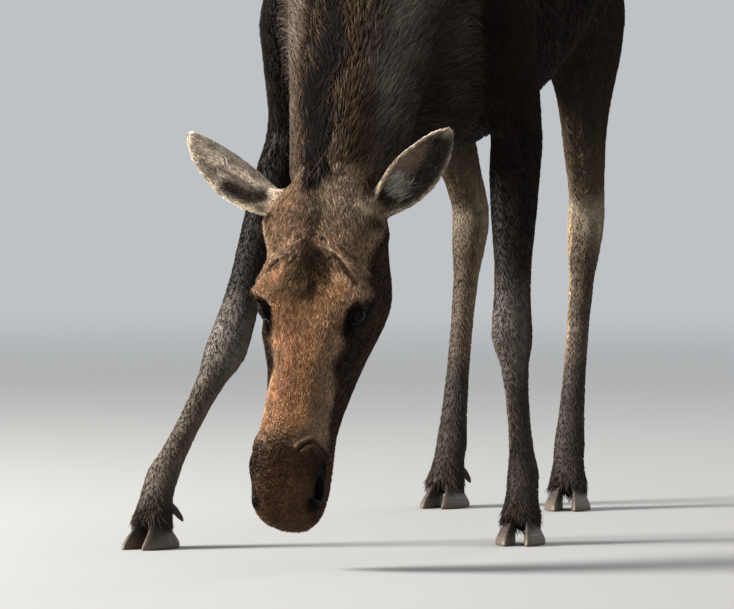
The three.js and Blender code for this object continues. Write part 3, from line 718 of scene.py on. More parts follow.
def cloud(points, size, seed):
    """Soft noise from 0 to 1 with blobs of about this size."""
    table = np.random.default_rng(seed).random((32, 32, 32))
    cell, part = np.divmod(points / size, 1)
    cell = cell.astype(int)
    part = part * part * (3 - 2 * part)
    total = 0
    for corner in np.ndindex(2, 2, 2):
        weight = np.prod([part[:, k] if corner[k] else 1 - part[:, k] for k in range(3)], axis=0)
        total = total + weight * table[tuple(((cell + corner) % 32).T)]
    return total


# %% Paint the markings
PART_COLOURS = {  # dark hairs, light hairs, share of light hairs
    "trunk": ("110e0c", "2b2420", 0.20), "neck": ("1f1a16", "51443a", 0.38),
    "head": ("463830", "a98c70", 0.45),
    "ear_left": ("6b5e52", "c4b4a0", 0.52), "ear_right": ("786b5f", "d4c5b2", 0.56),
    "foreleg_left": ("1b1715", "403832", 0.32), "foreleg_right": ("1b1715", "403832", 0.32),
    "hindleg_left": ("2b241d", "62513f", 0.38), "hindleg_right": ("2b241d", "62513f", 0.38),
    "tail": ("110e0c", "2b2420", 0.20), "bell": ("17120f", "3a2f27", 0.25),
}
paint_dark, paint_light = (part_shares @ np.array([colour(PART_COLOURS[name][i]) for name in FLESH])
                           for i in (0, 1))
paint_share = part_shares @ np.array([PART_COLOURS[name][2] for name in FLESH])


def paint(where, dark, light, share):
    """Lay a mark over the paint so far."""
    global paint_dark, paint_light, paint_share
    where = np.clip(where, 0, 1)
    paint_dark = paint_dark + (colour(dark) - paint_dark) * where[:, None]
    paint_light = paint_light + (colour(light) - paint_light) * where[:, None]
    paint_share = paint_share + (share - paint_share) * where


LEAN = -0.004  # the dark mark on the forehead sits a little to the right


wander = cloud(skin_points, 0.05, 1) - 0.5
fine_wander = cloud(skin_points, 0.018, 2) - 0.5
head = on_head_share
middle = np.abs(out)
x, y, z = skin_points.T
height_on_neck = (skin_points - POLL) @ NECK_LINE

# The neck: rust streaks beside the black mane, and greyer sides.
mane_middle = (out + 0.020 + 0.034 * soft_step(height_on_neck, 0.02, 0.30)
               - 0.054 * soft_step(height_on_neck, 0.40, 0.75))
over_neck = on_neck * soft_step(normals[:, 2] - 0.6 * normals[:, 1], 0.25, 0.75)
paint(over_neck * soft_bump(np.abs(mane_middle) - 0.050, 0.028), "1b1511", "584431", 0.34)
paint(over_neck * soft_step(-mane_middle + 0.02 * wander, 0.045, 0.075), "302a26", "6c6158", 0.42)
paint(over_neck * soft_step(mane_middle + 0.02 * wander, 0.085, 0.130), "36302b", "7b7066", 0.44)
paint(on_neck * (1 - soft_step(normals[:, 2] - 0.6 * normals[:, 1], -0.2, 0.25)), "181310", "3d332b", 0.30)
paint(0.9 * on_neck * soft_step(height_on_neck + 0.10 * wander, 0.45, 0.75), "13100e", "302823", 0.22)
MANE_HALF = 0.034
mane_width = MANE_HALF * (0.24 + 0.76 * soft_step(height_on_neck, -0.03, 0.22))
mane_share = (1 - soft_step(np.abs(mane_middle + 0.010 * wander) / mane_width, 0.7, 1.5))
mane_share = (mane_share * soft_step(height_on_neck, -0.035, -0.01)
              * (on_neck + head + on_trunk * (1 - soft_step(y, -0.5, -0.2))))
mane_share = np.clip(mane_share, 0, 1) * soft_step(normals[:, 2] - 0.6 * normals[:, 1], 0.2, 0.6)
paint(mane_share, "060505", "16100c", 0.12)

# The head: brown in front, nearly black on the cheeks and jaws.
cheek = head * (1 - soft_step(face + 0.02 * wander, -0.066, -0.040))
bridge = head * soft_step(along, 0.27, 0.36) * (1 - soft_step(along, 0.50, 0.56))
# The red-brown of the bridge is its own colour; moving the band towards the right side, where the key lamp
# falls, is painted light.
bridge = bridge * (1 - soft_step(np.abs(out + 0.012), 0.030, 0.075))
crown = head * (1 - soft_step(along + 0.02 * wander, 0.05, 0.13))
paint(head * soft_bump(along - 0.24, 0.06) * (1 - soft_step(middle, 0.06, 0.10)), "523f2f", "c09973", 0.50)
paint(crown * (1 - mane_share), "463a30", "a38d76", 0.45)
paint(bridge, "5a3f2b", "b88c65", 0.50)
# Lighter patches on the right side of the bridge and of the forehead, where the key lamp falls, are painted
# light.
painted_light_on_bridge = soft_step(along, 0.27, 0.36) * (1 - soft_step(along, 0.48, 0.54)) * soft_bump(out + 0.048, 0.030)
paint(0.6 * head * painted_light_on_bridge, "705846", "cfae94", 0.58)
painted_light_on_forehead = soft_bump(along - 0.115, 0.085) * soft_step(-out, 0.015, 0.060) * soft_step(face, -0.06, -0.02)
paint(0.7 * head * painted_light_on_forehead, "5c4c3f", "bfa389", 0.54)
paint(cheek, "1d1714", "4a392d", 0.30)
diamond = np.hypot((out - LEAN) / 0.060, (along - 0.190) / 0.062) + 0.8 * wander + 0.8 * fine_wander
paint(0.95 * head * (1 - soft_step(diamond, 0.15, 1.35)), "1f1812", "574532", 0.27)
centre_line = ((1 - soft_step(np.abs(out - LEAN) + 0.010 * wander, 0.006, 0.026))
               * soft_bump(along - 0.100, 0.040))
paint(0.65 * head * centre_line, "272019", "6a5646", 0.30)
# The light patch on the swelling over each eye is painted highlight, lighter and stronger on the right side,
# where the key lamp falls.
brow_highlight = [(0.212, 0.078, -0.014), (0.228, 0.094, -0.022)]
# The near-black lines in the frown's creases and crack, and the dark lines in its wrinkles and in the groove
# beside the left ridge, are painted shade.
CREASE_SHADE = ("070504", "120d0a", 0.10)
# The light bands along the frown ridges are painted highlight.
for amount, line, size, edge, sides, hairs in [
    (1.0, RIDGE_LEFT[1:-1], 0.0046, 0.7, LEFT, ("6b5646", "c6a98e", 0.60)),
    (1.0, [(0.134, 0.018, 0.001), (0.141, 0.034, -0.001)], 0.0085, 0.6, LEFT, ("6b5646", "c2a68c", 0.58)),
    (0.8, [(0.165, 0.078, -0.014), (0.177, 0.098, -0.030)], 0.0095, 0.7, LEFT, ("6b5646", "bfa388", 0.55)),
    (0.9, RIDGE_RIGHT[2:-1], 0.0080, 0.7, RIGHT, ("6e5748", "c4a78e", 0.58)),
    (0.6, RIDGE_RIGHT[:3], 0.0060, 0.7, RIGHT, ("6b5646", "c6a98e", 0.55)),
    (1.0, CREASE_LEFT, 0.0044, 0.5, LEFT, CREASE_SHADE),
    (1.0, CRACK_RIGHT, 0.0034, 0.5, RIGHT, CREASE_SHADE),
    (1.0, CREASE_RIGHT, 0.0038, 0.5, RIGHT, CREASE_SHADE),
    (0.6, WRINKLE_LEFT, 0.0024, 0.7, LEFT, ("2a211a", "5a483a", 0.20)),
    (0.6, [(0.140, 0.024, 0.000), (0.153, 0.046, -0.004)], 0.0030, 0.7, LEFT, ("2a211a", "5a483a", 0.20)),
    (1.0, [(0.127, 0.019, 0.002)], 0.0068, 0.6, LEFT, ("0c0908", "2a211b", 0.12)),
    (1.0, [(0.125, 0.036, 0.001)], 0.0068, 0.6, RIGHT, ("0c0908", "2a211b", 0.12)),
    (0.45, brow_highlight, 0.017, 0.5, LEFT, ("5a4433", "aa8868", 0.50)),
    (0.85, brow_highlight, 0.021, 0.6, RIGHT, ("6e5745", "d4af8d", 0.60)),
]:
    paint(amount * head * head_spot(line, size, edge, sides), *hairs)
muzzle = head * soft_step(along + 0.03 * wander, 0.515, 0.565)
paint(muzzle, "281b12", "5b3f2a", 0.34)
paint(head * soft_step(along, 0.60, 0.65) * soft_step(face, -0.09, -0.03), "33231a", "664833", 0.40)
paint(head * soft_step(along, 0.57, 0.61) * (1 - soft_step(face, -0.135, -0.115)), "4c382c", "84644e", 0.45)
beside_nostril = [(0.590, 0.068, -0.028), (0.622, 0.073, -0.046), (0.660, 0.066, -0.050)]
round_nostril = [(0.598, 0.072, -0.036), (0.622, 0.074, -0.048), (0.662, 0.066, -0.052)]
above_nostril = [(0.545, 0.055, -0.013), (0.583, 0.060, -0.016), (0.608, 0.057, -0.018)]
# The dark ring round each nostril and the darker skin beside it are partly the dark skin there and partly
# painted shade round the pit.
for amount, line, size, edge, sides, hairs in [
    (0.3, beside_nostril, 0.028, 0.5, BOTH, ("17110d", "33261d", 0.20)),
    (0.95, round_nostril, 0.0165, 0.4, BOTH, ("080706", "18110d", 0.12)),
    # Light lines along the arches over the nostrils and along the wing are painted highlight, and the dark
    # line in the groove inside the left arch is painted shade.
    (0.55, ARCH_LEFT, 0.0026, 0.6, LEFT, ("54402f", "8d6b52", 0.50)),
    (0.65, ARCH_RIGHT, 0.0040, 0.6, RIGHT, ("54402f", "93705a", 0.50)),
    (0.7, above_nostril, 0.0036, 0.6, RIGHT, ("544840", "958679", 0.50)),
    (0.8, INSIDE_ARCH, 0.0036, 0.6, LEFT, ("14100d", "3a2c22", 0.20)),
]:
    paint(amount * head * head_spot(line, size, edge, sides), *hairs)

# Darker round the eyes and down the tear line, and near-black on the lids, in the nostrils and along the
# lips.
eye_distance = nearest_of(skin_points, EYES)
paint(head * (1 - soft_step(eye_distance + 0.012 * wander, 0.021, 0.031)), "100d0b", "33271e", 0.16)
round_eye = [(0.236, 0.116, -0.052), (0.258, 0.105, -0.046), (0.280, 0.090, -0.046), (0.298, 0.082, -0.048)]
paint(head * head_spot(round_eye, 0.0175, 0.65), "13100d", "37291f", 0.18)
paint(head * head_spot(TEAR, 0.011, 0.8), "100d0b", "33271e", 0.12)
# The near-black line in the fold over each upper lid is painted shade.
lid_fold_shade = [(0.262, 0.080, -0.026), (0.252, 0.089, -0.025), (0.243, 0.101, -0.024), (0.235, 0.116, -0.033)]
paint(0.8 * head * head_spot(lid_fold_shade, 0.0030, 0.7), "0a0706", "1a130f", 0.10)
bare, wet_rim_glint = np.zeros(len(skin_points)), np.zeros(len(skin_points))
for name in SIDES:
    far, _, _, up_lid, edge = almond(skin_points, name)
    wet_rim_glint = np.maximum(wet_rim_glint, soft_bump(edge - 1.05, 0.03) * (up_lid < -0.1) * (far < 1.4 * EYE_RADIUS))
    bare = np.maximum(bare, (1 - soft_step(edge, 1.15, 1.35)) * (far < 1.4 * EYE_RADIUS))
    edge, _, _ = nostril_edge(skin_points, name)
    bare = np.maximum(bare, 1 - soft_step(edge, 1.0, 1.35))
bare = np.maximum(bare, 0.9 * head * head_spot(MOUTH, 0.0035))
# The near-black in the nostril pits and along the mouth line is partly bare dark skin and partly painted
# shade in these hollows.
paint(bare, "0d0a09", "1a1412", 0.3)
# A grey line along each lower lid is a painted reflection on its wet rim.
paint(0.45 * wet_rim_glint, "25282a", "3e4245", 0.5)

# Pale patches in front of the ears with a dark one below each, and the ears themselves.
near_ear = head + on_ear
below_ear = [(0.078, 0.110, -0.024), (0.077, 0.120, -0.038)]
dark_root = [(-0.004, 0.085, -0.036), (0.015, 0.101, -0.024), (0.017, 0.113, -0.044)]
pale_edge = [(0.035, 0.180, -0.063), (0.040, 0.150, -0.064), (0.040, 0.137, -0.058)]
for amount, line, size, edge, sides, hairs in [
    (0.8, below_ear, 0.011, 0.8, BOTH, ("1c1612", "4f4034", 0.25)),
    (0.9, dark_root, 0.013, 0.7, LEFT, ("1d1712", "4b3c30", 0.25)),
    (1.0, pale_edge, 0.0130, 0.4, RIGHT, ("8d7f69", "cfc2a6", 0.62)),
    (0.9, [(-0.011, 0.138, -0.056), (-0.015, 0.125, -0.070)], 0.009, 0.6, RIGHT, ("85796c", "c9bcab", 0.60)),
    (1.0, [(0.044, 0.079, -0.011), (0.053, 0.095, -0.018)], 0.0125, 0.6, LEFT, ("85745e", "c8b598", 0.60)),
    (0.7, [(0.042, 0.105, -0.035), (0.020, 0.127, -0.056)], 0.0085, 0.7, LEFT, ("5e4d38", "a58c68", 0.55)),
]:
    paint(amount * near_ear * head_spot(line, size, edge, sides), *hairs)
ear_inside, ear_reach, ear_low = (np.zeros(len(skin_points)) for _ in range(3))
for name in SIDES:
    here = share_of(f"ear_{name}")
    axis = EAR_TIPS[name] - EAR_ROOTS[name]
    reach = (skin_points - EAR_ROOTS[name]) @ axis / (axis @ axis)
    slab = np.clip((reach * 24).astype(int), 0, 23)
    chosen = here > 0.6
    count = np.maximum(np.bincount(slab[chosen], minlength=24), 1)
    centre = np.stack([np.bincount(slab[chosen], skin_points[chosen, k], 24) / count for k in range(3)],
                      axis=1)
    inner = (((centre[slab] - skin_points) * normals).sum(axis=1) > 0.001) & (reach > 0.08) & (here > 0.5)
    ear_inside += evened(inner.astype(float), near, 3)
    ear_reach += here * reach
    ear_low += here * ((skin_points - EAR_ROOTS[name] - reach[:, None] * axis) @ ALONG)
    print(name, "ear:", int(chosen.sum()), "corners,", int(inner.sum()), "of them inside")


def ear_spot(places, size, edge=0.6, sides=BOTH):
    """1 close to a line on an ear: how far out along it, then how far down and forwards in metres."""
    reach, low, front = np.array(places, float).T[:, :, None]
    lines = [EAR_ROOTS[name] + reach * (EAR_TIPS[name] - EAR_ROOTS[name]) + low * ALONG + front * FACE
             for name in sides]
    distance = np.min([to_line(skin_points, [*line, line[-1]]) for line in lines], axis=0)
    return (1 - soft_step(distance, size * (1 - edge), size * (1 + edge))) * on_ear


ear_hollow = ear_spot([(0.41, 0.001, 0.022), (0.43, 0.005, 0.008), (0.455, 0.009, 0.003)], 0.012)
ear_grey = np.maximum(
    ear_spot([(0.354, 0.012, -0.001), (0.432, 0.020, -0.003), (0.455, 0.032, -0.002)], 0.009),
    ear_spot([(0.313, 0.031, 0.002), (0.380, 0.042, 0.001)], 0.009))
ear_tuft = ear_spot([(0.31, 0.001, 0.026), (0.245, 0.005, 0.005), (0.29, 0.013, 0.000)], 0.011)
rim_border = np.interp(ear_reach, [0.2, 0.29, 0.48, 0.69, 0.85], [0.019, 0.016, 0.010, 0.005, 0.000])
ear_band = on_ear * (1 - soft_step(ear_low - rim_border, -0.004, 0.003)) * soft_step(ear_inside, 0.2, 0.5)
ear_band = ear_band * soft_step(ear_reach, 0.16, 0.26) * (1 - soft_step(ear_reach, 0.86, 0.96))
lower_edge = [(0.56, 0.049, -0.003), (0.368, 0.040, 0.000), (0.263, 0.027, 0.006), (0.195, 0.017, 0.008)]
near_tip = [(0.93, 0.022, 0.000), (0.80, 0.040, 0.000), (0.66, 0.056, 0.000)]
ear_fold = [(0.68, 0.034, 0.004), (0.591, 0.025, 0.006), (0.394, 0.019, 0.006), (0.301, 0.015, 0.006)]
paint(0.95 * ear_spot(lower_edge, 0.0155), "1d1814", "4b4138", 0.25)
paint(0.5 * ear_spot(near_tip, 0.008), "4a4139", "8c8073", 0.40)
paint(0.7 * ear_spot(ear_fold, 0.0048, 0.6), "332c26", "685c50", 0.30)
paint(ear_inside, "211c18", "5a5046", 0.32)
paint(0.8 * ear_inside * ear_grey, "3a3630", "7c776d", 0.50)
paint(0.9 * ear_inside * ear_tuft, "5a574d", "a8a597", 0.50)
paint(0.9 * ear_inside * ear_hollow, "080706", "1c1714", 0.20)
paint(ear_band, "4f4339", "8e7a67", 0.48)
ear_rim = soft_bump(ear_inside - 0.42, 0.12) * on_ear * soft_step(ear_reach, 0.4, 0.7)
paint(0.45 * ear_rim, "85796a", "c4b6a2", 0.55)
paint(0.8 * ear_spot([(0.19, 0.040, 0.000), (0.34, 0.054, 0.000)], 0.010), "3b332c", "776b5e", 0.40)

# Grey patches on the knees, pale hair at the hocks and down the inner and rear edges of the legs.
KNEES = {"left": np.array([0.336, -0.254, 0.448]), "right": np.array([-0.233, -0.424, 0.418])}
HOCKS = {"left": np.array([0.229, 0.902, 0.655]), "right": np.array([-0.041, 0.902, 0.655])}
on_foreleg, on_hindleg = share_of("foreleg"), share_of("hindleg")
paint(on_foreleg * soft_step(z + 0.10 * wander, 0.50, 0.72), "120e0c", "2a221d", 0.20)
paint(on_hindleg * soft_step(z + 0.10 * wander, 0.72, 0.92), "1e1914", "463a2d", 0.30)
paint(share_of("foreleg_right") * (1 - soft_step(z, 0.34, 0.50)), "2b2520", "6b6055", 0.42)
paint(share_of("foreleg_left") * (1 - soft_step(z, 0.34, 0.50)), "231e1a", "4d443c", 0.36)
paint(on_hindleg * (1 - soft_step(z, 0.40, 0.62)), "302922", "6e6052", 0.40)
# The haunch darkens upwards and the flank turns browner backwards, so that they meet without an edge.
paint(0.9 * on_hindleg * soft_step(z + 0.12 * wander, 0.84, 1.12), "17130f", "332920", 0.24)
paint(0.8 * on_trunk * soft_step(y + 0.15 * wander, 0.10, 0.62), "17130f", "362b22", 0.25)
rear = soft_step(normals[:, 1] + 0.3 * wander, 0.35, 0.75) * (1 - soft_step(z, 0.85, 1.0))
inward = normals[:, 0] * (share_of("foreleg_right", "hindleg_right")
                          - share_of("foreleg_left", "hindleg_left"))
inner = soft_step(inward + 0.25 * normals[:, 1] + 0.4 * wander, 0.35, 0.75) * soft_step(z, 0.14, 0.22)
paint(0.55 * on_foreleg * inner * (1 - soft_step(z, 0.42, 0.60)), "463b31", "8a7966", 0.42)
pale_hind = 0.95 * share_of("hindleg_left") + 0.45 * share_of("hindleg_right")
paint(pale_hind * np.maximum(inner, rear) * (1 - soft_step(z, 0.62, 0.85)), "5c4d3b", "b09a7e", 0.46)
paint(0.95 * on_hindleg * (1 - soft_step(z + 0.10 * wander, 0.24, 0.48)), "221d1a", "4a423b", 0.34)
for name in SIDES:
    knee = np.linalg.norm((skin_points - KNEES[name]) * [1, 1, 0.55], axis=1)
    front = soft_step(-normals[:, 1] + 0.2 * wander, -0.1, 0.6)
    pale = {"left": 0.50, "right": 0.80}[name] * front * (1 - soft_step(knee, 0.035, 0.080))
    paint(share_of(f"foreleg_{name}") * pale, "3b3632", "887f75", 0.44)
    hock = np.linalg.norm((skin_points - HOCKS[name]) * [1, 1, 0.5], axis=1)
    pale = {"left": 0.70, "right": 0.30}[name]
    pale_hock = pale * share_of(f"hindleg_{name}") * (1 - soft_step(hock + 0.03 * wander, 0.030, 0.070))
    paint(pale_hock, "6e6253", "c3b8a2", 0.45)
coronet = (1 - soft_step(z + 0.03 * wander, 0.085, 0.15)) * on_leg
paint(coronet, "1f1a17", "4a4038", 0.30)

# Lighter and darker locks all over, so that no part is one flat colour.
shade = 1 + 0.35 * wander + 0.35 * fine_wander
paint_dark, paint_light = paint_dark * shade[:, None], paint_light * shade[:, None]
print("markings painted; mean dark", paint_dark.mean(axis=0).round(3),
      "mean light", paint_light.mean(axis=0).round(3))

# %% [markdown]
# ## Materials
# All the patterns are made of maths in the shader or of colours at the corners, so nothing is an image.
# A few lines make that maths readable: a value in a material can be added to and multiplied like a
# number, and one method makes any other node.

# %% Sums of shader values
class Value:
    """A value in a material, which can be used in sums."""

    def __init__(self, look, socket):
        self.look, self.socket = look, socket

    def sum(self, operation, *values):
        return self.look.node("ShaderNodeMath", {"operation": operation}, dict(enumerate(values)))

    def __add__(self, other):
        return self.sum("ADD", self, other)

    def __sub__(self, other):
        return self.sum("SUBTRACT", self, other)

    def __rsub__(self, other):
        return self.sum("SUBTRACT", other, self)

    def __mul__(self, other):
        return self.sum("MULTIPLY", self, other)

    def __truediv__(self, other):
        return self.sum("DIVIDE", self, other)

    def __rtruediv__(self, other):
        return self.sum("DIVIDE", other, self)

    def __pow__(self, other):
        return self.sum("POWER", self, other)

    __radd__, __rmul__ = __add__, __mul__

    def step(self, low, high):
        """0 below low and 1 above high, smooth between."""
        settings = {"interpolation_type": "SMOOTHSTEP"}
        return self.look.node("ShaderNodeMapRange", settings, {0: self, 1: low, 2: high})


class Look:
    """A material, made with few words."""

    def __init__(self, name, **constants):
        self.material = bpy.data.materials.new(name)
        self.material.use_nodes = True
        self.tree = self.material.node_tree
        self.shader = self.tree.nodes["Principled BSDF"]
        for key, value in constants.items():
            self.shader.inputs[key.replace("_", " ")].default_value = value

    def node(self, kind, settings, values, output=0):
        """One node with its settings and then its values or links, and the output it gives."""
        made = self.tree.nodes.new(kind)
        for key, value in settings.items():
            setattr(made, key, value)
        for key, value in values.items():
            self.give(made.inputs[key], value)
        return Value(self, made.outputs[output])

    def give(self, socket, value):
        if isinstance(value, Value):
            self.tree.links.new(value.socket, socket)
        else:
            socket.default_value = value

    def surface(self, **values):
        for key, value in values.items():
            self.give(self.shader.inputs[key.replace("_", " ")], value)

    def stored(self, name, output="Fac"):
        """What is stored at the corners of the mesh under this name."""
        return self.node("ShaderNodeAttribute", {"attribute_name": name}, {}, output)

    def mixed(self, share, first, second):
        """Two colours mixed."""
        return self.node("ShaderNodeMix", {"data_type": "RGBA"}, {0: share, 6: first, 7: second}, 2)

    def noise(self, place, scale, detail=2.0):
        return self.node("ShaderNodeTexNoise", {}, {"Vector": place, "Scale": scale, "Detail": detail})

    def bump(self, height, distance, strength=1.0):
        return self.node("ShaderNodeBump", {}, {"Height": height, "Distance": distance, "Strength": strength})


def rgba(code):
    return (*colour(code), 1)

# %% [markdown]
# ## The skin piece
# Between the tufts the skin itself shows, so it is painted with the same markings, mixed by a fine
# speckle and larger soft noise, with a fine bump.

# %% Make the skin
def store(mesh, name, values):
    """Keep a number or a colour at each corner."""
    kind = "FLOAT" if values.ndim == 1 else "FLOAT_COLOR"
    layer = mesh.attributes.new(name, kind, "POINT")
    if kind == "FLOAT":
        layer.data.foreach_set("value", np.ascontiguousarray(values, np.float32))
    else:
        full = np.ones((len(values), 4), np.float32)
        full[:, :3] = values
        layer.data.foreach_set("color", full.ravel())


def store_map(mesh, name, places):
    """A UV map from one place for each corner of each triangle."""
    layer = mesh.uv_layers.new(name=name)
    layer.uv.foreach_set("vector", np.ascontiguousarray(places, np.float32).ravel())


skin_mesh = mesh_of("skin", skin_points, skin_triangles)
store(skin_mesh, "dark", paint_dark)
store(skin_mesh, "light", paint_light)
store(skin_mesh, "share", paint_share)
store(skin_mesh, "bare", bare)
skin = piece_of("skin", skin_mesh)

look = Look("skin_coat", Roughness=0.62, Specular_IOR_Level=0.08)
grain = look.node("ShaderNodeTexCoord", {}, {}, "Object")
speckle = look.noise(grain, 420.0, 3.0)
lock = look.noise(grain, 70.0, 2.0)
mix = (speckle * 0.7 + lock * 0.5 + look.stored("share") * 0.9 - 0.55).step(0.15, 0.85)
base = look.mixed(mix, look.stored("dark", "Color"), look.stored("light", "Color"))
bareness = look.stored("bare")
look.surface(Base_Color=base, Roughness=0.62 - bareness * 0.16,
             Normal=look.bump((speckle * 0.6 + lock * 0.4) * (1 - bareness * 0.8), 0.0010, 0.4))
skin_mesh.materials.append(look.material)
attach(skin, "root")
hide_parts(*FLESH)
print("skin:", len(skin_triangles), "triangles")

# %% [markdown]
# ## The coat
# A hair is far too thin to model one by one, so the coat is made of tufts: little closed spikes that
# stand for a pinch of hairs. Each starts just under the skin, lies along the coat and thins to a point.
# Short tufts have one ridge and four faces. Long locks have a bend in the middle and ten faces, and are
# laid along the body so that they follow its roundness.

# %% Where tufts stand
rng = np.random.default_rng(11)
corner_a, corner_b, corner_c = (skin_points[skin_triangles[:, i]] for i in range(3))
areas = np.linalg.norm(np.cross(corner_b - corner_a, corner_c - corner_a), axis=1) / 2
skin_tree = tree_of(skin_points, skin_triangles)
face_lies = unit(lie[skin_triangles].mean(axis=1))


def roots_on(where, count):
    """Roots spread evenly over the skin, more of them where the weight at the corners is higher."""
    total = np.cumsum(areas * where[skin_triangles].mean(axis=1))
    chosen = np.searchsorted(total, (np.arange(count) + rng.random(count)) / count * total[-1])
    first, second = rng.random((2, count))
    over = first + second > 1
    first, second = np.where(over, 1 - first, first), np.where(over, 1 - second, second)
    return np.minimum(chosen, len(total) - 1), np.stack([1 - first - second, first, second], axis=1)


def at(values, roots):
    """Values of the corners, worked out at the roots."""
    chosen, shares = roots
    return np.einsum("nc,nc...->n...", shares, values[skin_triangles[chosen]])


def turned(way, across, angle):
    return way * np.cos(angle)[:, None] + across * np.sin(angle)[:, None]


def tuft_colours(roots, place, lock_size, dyed=None, even=0.0):
    """One colour for each tuft: most are near the dark or near the light colour of the place."""
    dark, light, share = at(paint_dark, roots), at(paint_light, roots), at(paint_share, roots)
    if dyed:
        dark, light, share = colour(dyed[0]) + 0 * dark, colour(dyed[1]) + 0 * light, dyed[2] + 0 * share
    light_hair = rng.random(len(share)) < share
    amount = np.where(light_hair, rng.uniform(0.55, 1.25, len(share)), rng.uniform(-0.15, 0.35, len(share)))
    amount += (0.15 + 0.75 * share - amount) * even
    shade = rng.uniform(0.85, 1.15, len(share)) * (0.75 + 0.5 * cloud(place, lock_size, 5))
    shade = 1 + (shade - 1) * (1 - even)
    return np.maximum(dark + (light - dark) * amount[:, None], 0.001) * shade[:, None]


# %% The maps that the coat's colours are kept in
BAKE_MARGIN, BAKE_PATCH = 0.02, 0.003


def round_axis(places, origin, axis, start, length):
    """A place's turn round an axis and how far along it lies, both from 0 to 1."""
    second = unit(np.cross(axis, start))
    way = places - origin
    turn = np.arctan2(way @ second, way @ np.cross(second, axis)) / (2 * math.pi) + 0.5
    return np.stack([turn, np.clip((way @ axis) / length, 0, 1)], axis=1)


def bake_patches(places, shape):
    """Each tuft's little patch: its place on the unwrapped part, and the tuft's corners inside it."""
    low, high = places.min(axis=0), places.max(axis=0)
    spread = BAKE_MARGIN + (places - low) / (high - low) * (1 - 2 * BAKE_MARGIN)
    return spread[:, None, :] + (np.array(shape) - 0.5) * BAKE_PATCH


def two_parts(places, second, unwrap_first, unwrap_second):
    """Two parts side by side in one map."""
    first_map, second_map = unwrap_first(places) * [0.48, 1], unwrap_second(places) * [0.48, 1] + [0.52, 0]
    return np.where(second[:, None], second_map, first_map)


# %% Build the tufts
SPIKE = [(0, 1, 3), (0, 2, 1), (0, 3, 2), (2, 3, 1)]
SPIKE_MAP = [(0.0, 0.0), (1.0, 0.0), (0.5, 0.4), (0.5, 1.0)]
LOCK = [(0, 1, 4), (0, 4, 3), (3, 4, 6), (0, 2, 1), (0, 3, 5), (0, 5, 2), (2, 5, 4), (2, 4, 1),
        (3, 6, 5), (5, 6, 4)]
LOCK_MAP = [(0.0, 0.0), (1.0, 0.0), (0.5, 0.2), (0.1, 0.5), (0.9, 0.5), (0.5, 0.6), (0.5, 1.0)]


def coat_of(name, corners, colours, faces, patches):
    """One piece of coat from all its tufts."""
    count, size = corners.shape[:2]
    triangles = (np.arange(count)[:, None, None] * size + np.array(faces)).reshape(-1, 3)
    mesh = mesh_of(name, corners.reshape(-1, 3), triangles, smooth=False)
    store(mesh, "colour", colours.reshape(-1, 3))
    store_map(mesh, "OFBake", patches.reshape(-1, 2)[triangles].reshape(-1, 2))
    mesh.materials.append(coat_look.material)
    piece = piece_of(name, mesh)
    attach(piece, "root")
    print(f"{name}: {count} tufts, {len(triangles)} triangles")
    return piece


def short_coat(name, where, count, unwrap, unruly=0.16, thick=0.115, flat=0.22, even=0.2,
               ridge=0.38):
    """A piece of short fur: spikes of four faces."""
    roots = roots_on(where, count)
    place, up = at(skin_points, roots), unit(at(normals, roots))
    way = flattened(at(lie, roots), up)
    across = np.cross(way, up)
    length = at(hair_length, roots) * rng.uniform(0.65, 1.30, count)
    angle = (rng.normal(0, unruly, count) + 1.0 * (cloud(place, 0.012, 6) - 0.5)
             + 0.6 * (cloud(place, 0.04, 7) - 0.5))
    way, across = turned(way, across, angle), turned(across, -way, angle)
    half = ((0.0005 + thick * length) * rng.uniform(0.7, 1.3, count) / 2)[:, None]
    rise = (np.minimum(at(depth, roots), flat * length) * rng.uniform(0.25, 1.25, count))[:, None]
    length = length[:, None]
    root = place - up * 0.0007
    corners = np.stack([
        root - across * half,
        root + across * half,
        place + way * length * 0.38 + up * (0.0006 + 0.55 * rise + ridge * half),
        place + way * length + up * (0.0005 + rise),
    ], axis=1)
    body = tuft_colours(roots, place, 0.012, even=even)
    # Each tuft is painted darker at its root, as painted shade among the hairs, and lighter at its tip, as
    # painted light.
    colours = body[:, None, :] * np.array([0.50, 0.50, 1.0, 1.40])[None, :, None]
    return coat_of(name, corners, colours, SPIKE, bake_patches(unwrap(place), SPIKE_MAP))


